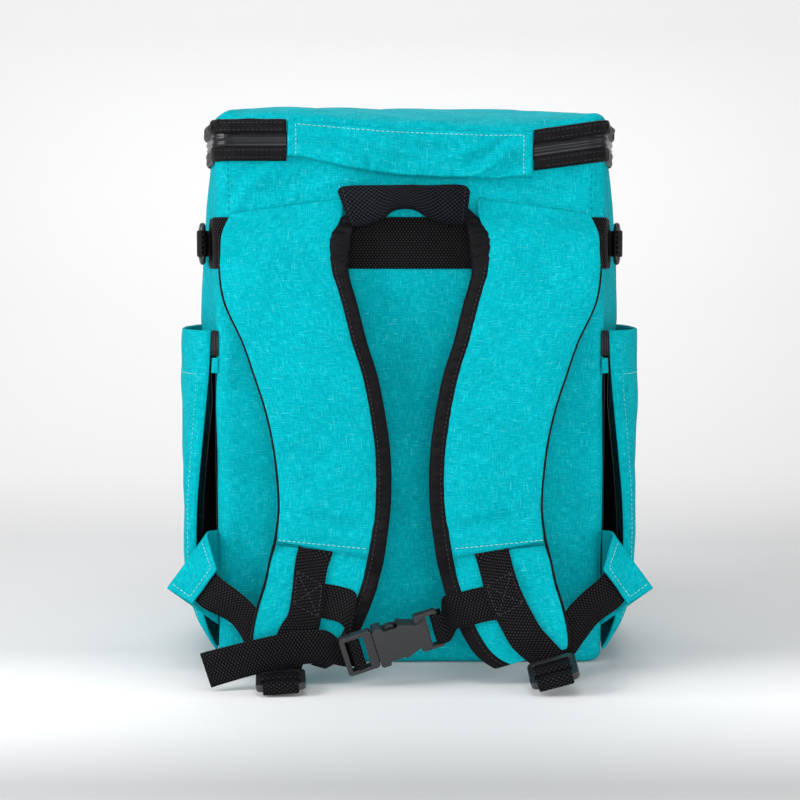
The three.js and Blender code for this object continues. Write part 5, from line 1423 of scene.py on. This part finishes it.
@dataclass
class Pocket(Assembly):
    """One side pocket: its wall, its folded black gusset at the back, and the gusset's elastic and tab.

    Attributes:
        rows: Rows up the wall.
        columns: Columns from its back hem to its front.
    """

    rows: int = 96
    columns: int = 90

    def wall(self, along: np.ndarray, height: np.ndarray, extra: float = 0.0) -> np.ndarray:
        """Points of the wall's middle, at shares of its depth and of its height.

        The projection is the product of both tables' shares, and the hem stands off more in the first fifth.
        """
        plan = smooth_path(np.pad(POCKET_PLAN, ((0, 0), (0, 1))), 240)
        rows = smooth_path(POCKET_ROWS, 240)
        out = np.interp(along, plan[:, 0], plan[:, 1])
        row_out, hem = np.interp(height, rows[:, 0], rows[:, 1]), np.interp(height, rows[:, 0], rows[:, 2])
        y = POCKET_BACK + (POCKET_FRONT - POCKET_BACK) * along
        z = height * POCKET_HEIGHT
        near_hem = np.clip(1 - along * 5, 0, 1)
        free = WIDTH / 2 + POCKET_OUT * (out * row_out + near_hem * hem) - self.tuck(height) * near_hem
        seed = 111 + self.side.value
        soft = 1.1 * soft_noise(along * 2.4, height * 2.6, seed) + 0.5 * soft_noise(along * 7, height * 6, seed + 4)
        soft = soft * smoothstep(along, 0, 0.12) * smoothstep(1 - along, 0.02, 0.2)
        x = np.maximum(free + soft, side_face(y, z) + CLEAR + FABRIC / 2) + extra
        return xyz(self.side.value * x, y, z)

    def build(self) -> None:
        """The wall with a doubled hem, the gusset, and its two strips."""
        along, height = eased(self.columns)[None, :], (0.03 + 0.97 * eased(self.rows, 1.3))[:, None]
        grid = self.wall(along + 0 * height, height + 0 * along)
        uv = uv_table(along * POCKET_ROUND, height * POCKET_HEIGHT)
        obj = thick_sheet(self.sided("pocket_wall"), grid, FABRIC + 0.3, uv)
        self.keep(obj, TEAL, Slot.TEAL, self.sided("side_pocket"))
        self.declare(obj, grid, "stretched")
        self.build_gusset()
        self.build_strips()
        self.build_stitches()

    @staticmethod
    def tuck(height: np.ndarray) -> np.ndarray:
        """How far the elastic draws the back hem in towards the body, at shares of the pocket's height."""
        return 5.5 * smoothstep(height, 0.45, 0.98)

    def hem(self, z: np.ndarray) -> np.ndarray:
        """The back hem's x on the right side, at heights z."""
        height = z / POCKET_HEIGHT
        out = column(POCKET_ROWS, height, 1) * 0.3 + column(POCKET_ROWS, height, 2)
        free = WIDTH / 2 + POCKET_OUT * out - self.tuck(height)
        return np.maximum(free, side_face(POCKET_BACK, z) + CLEAR + FABRIC / 2)

    def build_gusset(self) -> None:
        """Black lining along the body's side, folded back out to the inside of the hem, slack and creased."""
        columns, bend_out, bend_deep = 16, 1.3, 4.0
        start, near = POCKET_BACK + 1, CLEAR + GUSSET_THICK / 2
        turn_y = start + GUSSET_FOLD - bend_deep
        z = np.linspace(GUSSET_LOW, POCKET_HEIGHT - 2, 90)[:, None]
        end = side_face(turn_y, z) + near
        back = end + 2 * bend_out
        outer = np.maximum(self.hem(z) - FABRIC - CLEAR - GUSSET_THICK - 0.4, back - bend_deep)
        y = np.linspace(start, turn_y, columns)[None, :]
        t = np.linspace(0, math.pi, 7)[None, 1:-1]
        share = np.linspace(0, 1, columns)[None, :]
        grid = np.concatenate([
            xyz(side_face(y, z) + near, y, z),
            xyz(end + bend_out * (1 - np.cos(t)), turn_y + bend_deep * np.sin(t), z),
            xyz(back + (outer - back) * share, turn_y + (start + 4 - turn_y) * share, z)], axis=1)
        slack = np.concatenate([np.linspace(0.25, 1, columns), np.linspace(1, 0, 5) ** 2, np.zeros(columns)])
        creases = 0.55 * (1 + soft_noise(grid[..., 1] / 30, z / 34 + 0 * grid[..., 1], 121))
        grid[..., 0] += creases * smoothstep(z, GUSSET_LOW, 60) * slack
        grid[..., 0] *= self.side.value
        obj = thick_sheet(self.sided("gusset"), grid, GUSSET_THICK)
        self.keep(obj, LINING, Slot.BLACK, self.sided("pocket_gusset"))
        self.declare(obj, grid, "folded")

    def build_strips(self) -> None:
        """The ribbed elastic across the gusset's mouth, and the short teal tab under it, both a little slack."""
        for node, top, tall, reach, finish, slot in (("gusset_elastic", 0, 19, 1.0, ELASTIC, Slot.WEBBING),
                                                     ("gusset_tab", 20.5, 11, 0.8, TEAL, Slot.TEAL)):
            z = (POCKET_HEIGHT - top - tall + tall * eased(14, 1.3))[:, None]
            start = skin(z[:, 0], 0.515, CLEAR + GUSSET_THICK / 2)[:, None]
            y = np.full(14, POCKET_BACK - FABRIC / 2 - CLEAR - GUSSET_THICK)
            end = np.stack([self.hem(z[:, 0]) - FABRIC / 2, y, z[:, 0]], axis=1)[:, None]
            s = (np.linspace(0, 1, 18) * reach)[None, :, None]
            grid = start + (end - start) * s
            slack = np.sin(math.pi * s[..., 0] / reach)
            grid[..., 1] -= (0.9 if finish is TEAL else 0.2) * slack
            grid[..., 2] += 0.3 * slack * np.sin(z / 3)
            grid[..., 0] *= self.side.value
            uv = uv_table(z - z[0], np.linalg.norm(grid[0, -1] - grid[0, 0]) * s[..., 0] / reach)
            obj = thick_sheet(f"{node.split('_')[1]}_strip_{self.side.word}", grid, GUSSET_THICK, uv)
            self.keep(obj, finish, slot, f"{node}_{self.side.word}")

    def build_stitches(self) -> None:
        """Pale stitches down the back hem, and round the mouth's doubled hem."""
        lines = []
        height = np.linspace(0.12, 0.985, 160)
        points = self.wall(np.full(160, 0.028), height, FABRIC / 2 + 0.2)
        lines.append((points, np.array([self.side.value, -1.0, 0]) / math.sqrt(2)))
        along = np.linspace(0.03, 0.97, 160)
        points = self.wall(along, np.full(160, 0.868), FABRIC / 2 + 0.25)
        tangent = unit(np.gradient(points, axis=0))
        lines.append((points, np.cross(tangent, [0, 0, 1.0]) * self.side.value))
        self.keep(stitches(self.sided("pocket_stitches"), lines, 3.6, 2.6, 0.45), PALE_THREAD, Slot.TEAL)


WING_OUT, WING_FORWARD, WING_TOP, WING_LOW = 36.0, 33.0, 100.0, 28.0
# Where the wing's straight legs give way to its bent fold, in legs, and how far that is from the fold's corner.
BEND_START, BEND_END, BEND_REACH = 0.75, 1.25, 5.3


@dataclass
class Wing(Assembly):
    """The folded fabric wing at a lower corner, which holds the anchor webbing."""

    # Shares of the reach beyond the side and in front, and of the seam's top.
    corners = {"fold_top": (0.18, 0.18, 1.01), "fold_bottom": (0.99, 0.64, 0.62), "front_top": (-0.1, 0.85, 0.765),
               "front_bottom": (0.39, 1, 0.52)}

    @classmethod
    def corner(cls, name: str, side: Side) -> np.ndarray:
        """A corner's place in millimetres."""
        out, forward, height = cls.corners[name]
        return np.array([side.value * (WIDTH / 2 + out * WING_OUT), -DEPTH / 2 - forward * WING_FORWARD,
                         height * WING_TOP])

    def point(self, share: np.ndarray, leg: np.ndarray, extra: float = 0.0) -> np.ndarray:
        """Points of the wing's middle. share runs from its top to its bottom edge.

        leg runs from the seam (0) to the fold (1) and on to the front edge (2). Near the fold the straight legs give
        way to a quadratic curve whose control point is the fold's corner.
        """
        share, leg = np.broadcast_arrays(np.asarray(share, float)[..., None], np.asarray(leg, float)[..., None])
        seams = [skin(z, 0.545, CLEAR + FABRIC / 2) * [self.side.value, 1, 1] for z in (WING_TOP, WING_LOW)]
        ends = [self.corner(n, self.side) for n in ("fold_top", "fold_bottom", "front_top", "front_bottom")]
        seam = seams[0] + (seams[1] - seams[0]) * share
        at_fold = ends[0] + (ends[1] - ends[0]) * share
        front = ends[2] + (ends[3] - ends[2]) * share
        back_leg, front_leg = seam - at_fold, front - at_fold
        back_share = BEND_REACH / np.linalg.norm(back_leg, axis=-1, keepdims=True)
        near_back = at_fold + back_leg * np.minimum(0.6, back_share)
        near_front = at_fold + front_leg * BEND_REACH / np.linalg.norm(front_leg, axis=-1, keepdims=True)
        t = np.clip((leg - BEND_START) / (BEND_END - BEND_START), 0, 1)
        curve = (1 - t) ** 2 * near_back + 2 * t * (1 - t) * at_fold + t**2 * near_front
        low = seam + (near_back - seam) * np.clip(leg / BEND_START, 0, 1)
        high = near_front + (front - near_front) * np.clip((leg - BEND_END) / (2 - BEND_END), 0, 1)
        points = np.where(leg < BEND_START, low, np.where(leg > BEND_END, high, curve))
        soft = 0.8 * soft_noise(share[..., 0] * 1.5, leg[..., 0] * 1.4, 131 + self.side.value)
        soft = soft * np.sin(math.pi * share[..., 0]) * (leg[..., 0] > 1.05)
        return points + self.facing() * (soft[..., None] * 0.7 + extra)

    def build(self) -> None:
        """The wing as one folded thick sheet, with pale stitches near its edges."""
        share = eased(34, 1.3)[:, None]
        leg = np.concatenate([np.linspace(0, BEND_START, 16)[:-1], np.linspace(BEND_START, BEND_END, 12)[:-1],
                              2 - (2 - BEND_END) * (1 - eased(24, 1.2))])
        grid = self.point(share + 0 * leg[None, :], leg[None, :] + 0 * share)
        obj = thick_sheet(self.sided("wing_cloth"), grid, FABRIC)
        self.keep(obj, TEAL, Slot.TEAL, self.sided("anchor_wing"))
        self.declare(obj, grid, "folded")
        ways = [(np.full(30, 0.13), np.linspace(1.2, 1.86, 30)), (np.linspace(0.12, 0.9, 30), np.full(30, 1.86)),
                (np.full(40, 0.9), np.linspace(1.2, 1.86, 40))]
        lines = [(self.point(s, g, FABRIC / 2 + 0.15), self.facing()) for s, g in ways]
        self.keep(stitches(self.sided("wing_stitches"), lines, 3.4, 2.5, 0.5), PALE_THREAD, Slot.TEAL)

    def facing(self) -> np.ndarray:
        """The front leg's outward direction."""
        a, b, c = (self.corner(n, self.side) for n in ("fold_top", "front_top", "front_bottom"))
        out = unit(np.cross(b - a, c - a))
        return out if out[1] < 0 else -out


# The narrow webbing's hardware, as in the CAD.
LADDER_LENGTH, LADDER_THICK, LADDER_BAR = 28.0, 5.0, 4.4


def in_front(across: float, forward: float, height: float) -> np.ndarray:
    """A point in front of the back panel, at shares of the half width, the standoff and the straps' top height."""
    return np.array([across * WIDTH / 2, -DEPTH / 2 - forward * STANDOFF, height * STRAP_TOP])


@dataclass
class Axes:
    """Axes of a piece of hardware: its width or length, the other one, and out of its face.

    Attributes:
        first: Direction of its x.
        second: Direction of its y.
        face: Direction out of its face.
        origin: Its centre.
    """

    first: np.ndarray
    second: np.ndarray
    face: np.ndarray
    origin: np.ndarray

    def at(self, x: float, y: float, out: float) -> np.ndarray:
        """A point given along the axes."""
        return self.origin + x * self.first + y * self.second + out * self.face

    @classmethod
    def ladder(cls, side: Side) -> "Axes":
        """A ladder lock's axes: x across the webbing, y along it to the free end."""
        place, pitch, roll, yaw = {Side.LEFT: ((-0.628, 1.162, 0.0241), 9, 3, 4),
                                   Side.RIGHT: ((0.69, 1.176, 0.0436), 20, 16, -3)}[side]
        roll, yaw, pitch = -math.radians(roll), math.radians(yaw), math.radians(pitch)
        across = np.array([math.cos(roll) * math.cos(yaw), math.cos(roll) * math.sin(yaw), -math.sin(roll)])
        down = np.array([0, -math.cos(pitch), -math.sin(pitch)])
        along = unit(down - across * down.dot(across))
        return cls(-across, along, unit(np.cross(along, across)), in_front(*place))

    @classmethod
    def buckle(cls) -> "Axes":
        """The buckle's axes: x along it to the right, y across it."""
        rise, turn, lean = math.radians(17), math.radians(5), math.radians(25)
        along = unit(np.array([math.cos(rise), math.sin(turn), math.sin(rise)]))
        down = np.array([0, -math.cos(lean), -math.sin(lean)])
        face = unit(down - along * down.dot(along))
        return cls(along, np.cross(face, along), face, in_front(-0.037, 0.986, 0.1017))


def round_bar(centre: float, half_width: float, half_thick: float, angles: list) -> list:
    """Webbing's way round a bar: pairs of a place along it and one out of its face."""
    reach = 1.5 * CLEAR + TAPE / 2
    ways = []
    for angle in angles:
        along, out = math.cos(math.radians(angle)), math.sin(math.radians(angle))
        x, y = (0 if abs(v) < 1e-6 else math.copysign(half, v)
                for v, half in ((along, half_width), (out, half_thick)))
        ways.append((centre + x + reach * along, y + reach * out))
    return ways


def ladder_bar(which: int, angles: list) -> list:
    """Webbing's way round the first, middle or last bar of a ladder lock."""
    return round_bar(which * (LADDER_LENGTH - LADDER_BAR) / 2, LADDER_BAR / 2, LADDER_THICK / 2, angles)


def tail_face(height: float, sign: int, place: float) -> np.ndarray:
    """A point on a strap tail's face, at shares of the top height and of the tail's width."""
    keys = (TAIL_ROWS[:, 1] + TAIL_ROWS[:, 3]) / 2
    row = [np.interp(height, keys[::-1], TAIL_ROWS[::-1, k]) for k in range(5)]
    inner, outer = (np.array([sign * row[k] * WIDTH / 2, 0, row[k + 1] * STRAP_TOP]) for k in (0, 2))
    point = inner + (outer - inner) * place
    point[1] = -DEPTH / 2 - row[4] * STANDOFF + TAIL_RECESS
    return point


def on_tail(height: float, sign: int, place: float, layer: float, tilt: float) -> tuple:
    """A station of webbing on a strap's tail. Tilt 0 runs down the strap and tilt 90 across it."""
    lift = math.sin(math.radians(tilt)) * WEB_WIDTH / 2 / STRAP_TOP
    reach = math.cos(math.radians(tilt)) * WEB_WIDTH / 2 / TAIL_WIDTH
    across = tail_face(height + lift, sign, place + reach) - tail_face(height - lift, sign, place - reach)
    up = tail_face(height + 0.02, sign, place) - tail_face(height - 0.02, sign, place)
    normal = unit(np.array([0, -up[2], up[1]]))
    return tail_face(height, sign, place) + normal * layer, unit(across)


def alike(stations: list, across: np.ndarray) -> list:
    """Stations whose widths point the same way as the one given."""
    return [(at, way * (1 if across[0] * way[0] >= 0 else -1)) for at, way in stations]


def stitched_box(stations: list, start: float, end: float, layer: float) -> list:
    """Lines of a box of stitches with a cross in it, on webbing between two places along it.

    Args:
        stations: The webbing's stations.
        start: Millimetres along it where the box starts.
        end: Where it ends.
        layer: How far the thread is out of the webbing's middle.
    """
    centre, across, normals = webbing_path(stations, 400)
    length = path_length(centre)
    normals = normals * np.where(normals[:, 1:2] > 0, -1, 1)
    half = WEB_WIDTH / 2 - 2.6

    def line(a: tuple, b: tuple) -> tuple:
        """Points and outward directions between two places, each along the webbing and across it."""
        share = np.linspace(0, 1, 24)
        s, w = a[0] + (b[0] - a[0]) * share, a[1] + (b[1] - a[1]) * share
        at, way, out = (np.stack([np.interp(s, length, m[:, k]) for k in range(3)], axis=1)
                        for m in (centre, across, normals))
        return at + way * w[:, None] + out * layer, out

    corners = [(start, -half), (start, half), (end, half), (end, -half)]
    sides = [line(corners[k], corners[(k + 1) % 4]) for k in range(4)]
    return [*sides, line(corners[0], corners[2]), line(corners[1], corners[3])]


@dataclass
class StrapWebbing(Assembly):
    """The lower webbing of one strap: from its pad down to the ladder lock, and from the wing to the lock."""

    def build(self) -> None:
        """Shoulder webbing with its stitched box, anchor webbing, and the lock."""
        axes = Axes.ladder(self.side)
        self.build_shoulder(axes)
        self.build_anchor(axes)
        self.mould(self.sided("lock"), self.sided("ladder_lock"), 0.9)

    def in_lock(self, axes: Axes, pairs: list) -> list:
        """Stations from pairs of a place along the lock and one out of its face."""
        return [(axes.at(0, along, out), axes.first) for along, out in pairs]

    def build_shoulder(self, axes: Axes) -> None:
        """From under the pad's hem, down the tail, behind the lock's first bar and over its middle bar."""
        low = CLEAR * 2 + TAPE / 2
        over = low + TAPE + CLEAR
        top = 0.62 if self.side is Side.LEFT else 0.5
        path = ((0.281, top, low - 0.4), (0.262, top, low - 0.2), (0.236, top, low + 0.4),
                (0.21, top * 0.9 + 0.05, over + 0.2), (0.168, top * 0.5 + 0.26, over), (0.125, 0.54, over),
                (0.095, 0.57, over + 1))
        strap = [on_tail(h, self.side.value, place, layer, 20) for h, place, layer in path]
        pairs = [(-LADDER_LENGTH / 2 - 3, -LADDER_THICK / 2 - 2.2), *ladder_bar(-1, [-90, -45]),
                 *ladder_bar(0, [180, 135, 90, 45, 0])]
        stations = [*strap, *alike(self.in_lock(axes, pairs), strap[0][1])]
        self.web(self.sided("shoulder_web"), stations, 150, self.sided("shoulder_webbing"))
        box = stitched_box(stations, 21, 44, TAPE / 2 + 0.1)
        name = self.sided("box_stitches")
        self.keep(stitches(name, box, 3.2, 2.2, 0.5, 0.05), GREY_THREAD, Slot.WEBBING)

    def build_anchor(self, axes: Axes) -> None:
        """From inside the wing's fold, behind the strap, under the lock and round its last bar."""
        top, bottom = Wing.corner("front_top", self.side), Wing.corner("front_bottom", self.side)
        edge = unit(bottom - top)
        middle = (top + bottom) / 2
        fold_line = (Wing.corner("fold_top", self.side) + Wing.corner("fold_bottom", self.side)) / 2
        inward = unit(fold_line - middle)
        behind = unit(np.array([0, 1, 0]) - inward * inward[1])
        layer = FABRIC / 2 + 3 * CLEAR + TAPE / 2
        first, leaving = middle + inward * 8 + behind * layer, middle - inward * 3 + behind * layer
        low = -LADDER_THICK / 2 - 2 * (TAPE + CLEAR)
        pairs = [(-LADDER_LENGTH / 2 - 4, low - 2.4), (-LADDER_LENGTH / 4, low),
                 *ladder_bar(1, [-90, -45, 0, 45, 90, 135]), (LADDER_LENGTH / 4, LADDER_THICK * 0.3)]
        lock = alike(self.in_lock(axes, pairs), edge)
        rise = 12 if self.side is Side.LEFT else 7
        halfway = leaving + (lock[0][0] - leaving) * 0.5 + [0, 6, rise]
        turned = unit(edge + (lock[0][1] - edge) * 0.4 + [0, 0.5 if self.side is Side.LEFT else 0.2, 0])
        path = [(first, edge), (leaving, edge), (halfway, turned), *lock]
        self.web(self.sided("anchor_web"), path, 150, self.sided("anchor_webbing"))


SOCKET_LENGTH, PLUG_LENGTH = 48.0, 23.6


@dataclass
class ChestStrap(Assembly):
    """The webbing across the chest with its buckle, fastened."""

    def build(self) -> None:
        """Both webbings, the folded end and the buckle."""
        axes = Axes.buckle()
        socket_start = -0.42 * SOCKET_LENGTH
        socket_end, plug_end = socket_start + SOCKET_LENGTH, socket_start - 0.4 - PLUG_LENGTH
        flat = CLEAR * 2 + TAPE / 2

        def in_buckle(pairs: list) -> list:
            """Stations from pairs of a place along the buckle and one out of its face."""
            return [(axes.at(along, 0, out), axes.second) for along, out in pairs]

        bar, layer = socket_end - 1.75, 2.3
        round_loop = in_buckle([(bar + 5, -layer - 1.4), *round_bar(bar, 1.75, layer, [-90, -135, 180, 135, 90]),
                                (bar + 4, layer + 1.6)])
        right = [*round_loop, *(on_tail(*row, 90) for row in (
            (0.155, 1, -0.02, flat + 3), (0.16, 1, 0.12, flat + 1), (0.166, 1, 0.3, flat), (0.168, 1, 0.62, flat)))]
        self.web("chest_web_right", right, 150, "sternum_webbing_right")
        left = [on_tail(*row, 90) for row in (
            (0.168, -1, 0.62, flat), (0.168, -1, 0.32, flat), (0.157, -1, 0.17, flat + 2.3))]
        end_bar, middle_bar = plug_end + 1.8, plug_end + 1.8 + 8.6
        live = -2.5 - 2 * (TAPE + CLEAR)
        threaded = in_buckle([(middle_bar - 1, live), *round_bar(middle_bar, 1.8, 2.5, [-45, 0, 45, 90, 135]),
                              *round_bar(end_bar, 1.8, 2.5, [-45, -90])])
        tail = [(in_front(*row[:3]), unit(np.array([row[3], -row[4], 1.0]))) for row in (
            (-0.414, 1.054, 0.0874, 0, 0.2), (-0.566, 1.095, 0.0848, -0.08, 0.15),
            (-0.772, 1.122, 0.0673, -0.2, 0.1), (-0.993, 1.13, 0.0418, -0.34, -0.1))]
        self.web("chest_web_left", [*left, *threaded, *tail], 260, "sternum_webbing_left")
        end, way = tail[3]
        behind = np.array([0, TAPE + CLEAR, 0])
        fold_end = end + unit(tail[2][0] - end) * 16 + behind
        self.web("chest_web_hem", [(end + behind, way), (fold_end, way)], 12, "sternum_tail_fold")
        self.mould("socket", "buckle_socket", 0.8)
        self.mould("plug", "buckle_plug", 0.6)


ASSEMBLIES = (
    Tub(), Lid(), Closure(), Hinge(), LoadWebbing(), Handle(), ChestStrap(),
    *(kind(side=side) for side in Side for kind in (Strap, Pocket, Wing, StrapWebbing)),
)


@dataclass
class Studio:
    """Floor, soft lights and camera, as in the photograph.

    Attributes:
        place: The camera's place in millimetres.
        lens: Its focal length in millimetres.
        down: How far it looks down, in degrees.
    """

    place: tuple = (-7.4, -1350.0, 300.0)
    lens: float = 75.9
    down: float = 4.63

    def build(self) -> None:
        """Makes the camera, the curved white sweep, and large soft lights."""
        scene = bpy.context.scene
        data = bpy.data.cameras.new("camera")
        data.lens, data.sensor_width = self.lens, 36
        camera = bpy.data.objects.new("camera", data)
        camera.location = Vector(self.place) * MM
        camera.rotation_euler = (math.radians(90 - self.down), 0, 0)
        scene.collection.objects.link(camera)
        scene.camera = camera
        self.build_sweep()
        self.build_lights()
        self.build_sky()

    def build_sweep(self) -> None:
        """A white floor that curves up into a backdrop, painted brightest just in front of the bag."""
        front, bend, radius, reach = -3000.0, 700.0, 1500.0, 6000.0
        angle = np.linspace(0, math.pi / 2, 40)
        y = np.concatenate([np.linspace(front, bend, 60), bend + radius * np.sin(angle), [bend + radius]])
        z = np.concatenate([np.zeros(60), radius * (1 - np.cos(angle)), [reach]])
        x = np.array([-reach, reach])
        grid = xyz(x[None, :], y[:, None], z[:, None])
        quads, texture = grid_faces(*grid.shape[:2], False)
        uv = grid_uv(grid).reshape(-1, 2)[texture].reshape(-1, 2)
        sweep = make_object("sweep", grid.reshape(-1, 3), [quads], uv, 180)
        solid = sweep.modifiers.new("thickness", "SOLIDIFY")
        solid.thickness, solid.offset, solid.use_even_offset = 10 * MM, -1, True
        sweep.data.materials.append(PAPER.made())

    def build_lights(self) -> None:
        """Large soft lights on both sides and above, which leave the panel between the straps in shade."""
        for name, place, size, power in (
            ("left", (-1600, -800, 1000), 1.0, 30), ("right", (1700, -1000, 600), 1.2, 12),
            ("front", (100, -2000, 200), 1.0, 24), ("top", (0, -700, 1900), 1.0, 9),
            ("behind", (0, 1100, 1500), 1.4, 14),
        ):
            data = bpy.data.lights.new(name, "AREA")
            data.shape, data.size, data.energy = "SQUARE", size, power
            light = bpy.data.objects.new(name, data)
            light.location = Vector(place) * MM
            aim = Vector((0, 0, 0.2)) - light.location
            light.rotation_mode = "QUATERNION"
            light.rotation_quaternion = aim.to_track_quat("-Z", "Y")
            bpy.context.scene.collection.objects.link(light)

    def build_sky(self) -> None:
        """An even white world, dim enough to leave soft shadows."""
        world = bpy.data.worlds.new("studio")
        world.use_nodes = True
        sky = world.node_tree.nodes["Background"]
        sky.inputs["Color"].default_value = linear("#ffffff")
        sky.inputs["Strength"].default_value = 0.26
        bpy.context.scene.world = world
        bpy.context.scene.view_settings.view_transform = "Standard"


NODE_FINISHES = {Slot.TEAL: TEAL, Slot.BLACK: LINING, Slot.ZIP: COATED, Slot.WEBBING: WEBBED, Slot.MESH: SPACER,
                 Slot.PLASTIC: ACETAL}


def dress_nodes() -> None:
    """Gives CAD nodes that stay in view their real material."""
    for part in frame["record"]["subparts"]:
        node = frame["nodes"][part["node"]]
        node.data.materials.clear()
        node.data.materials.append(NODE_FINISHES[Slot(part["material_slot"])].made())


def main() -> None:
    """Builds the bag and its studio."""
    logging.basicConfig(level=logging.INFO, format="%(message)s")
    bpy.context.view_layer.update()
    dress_nodes()
    for assembly in ASSEMBLIES:
        assembly.build()
    Studio().build()


if __name__ == "__main__":
    main()
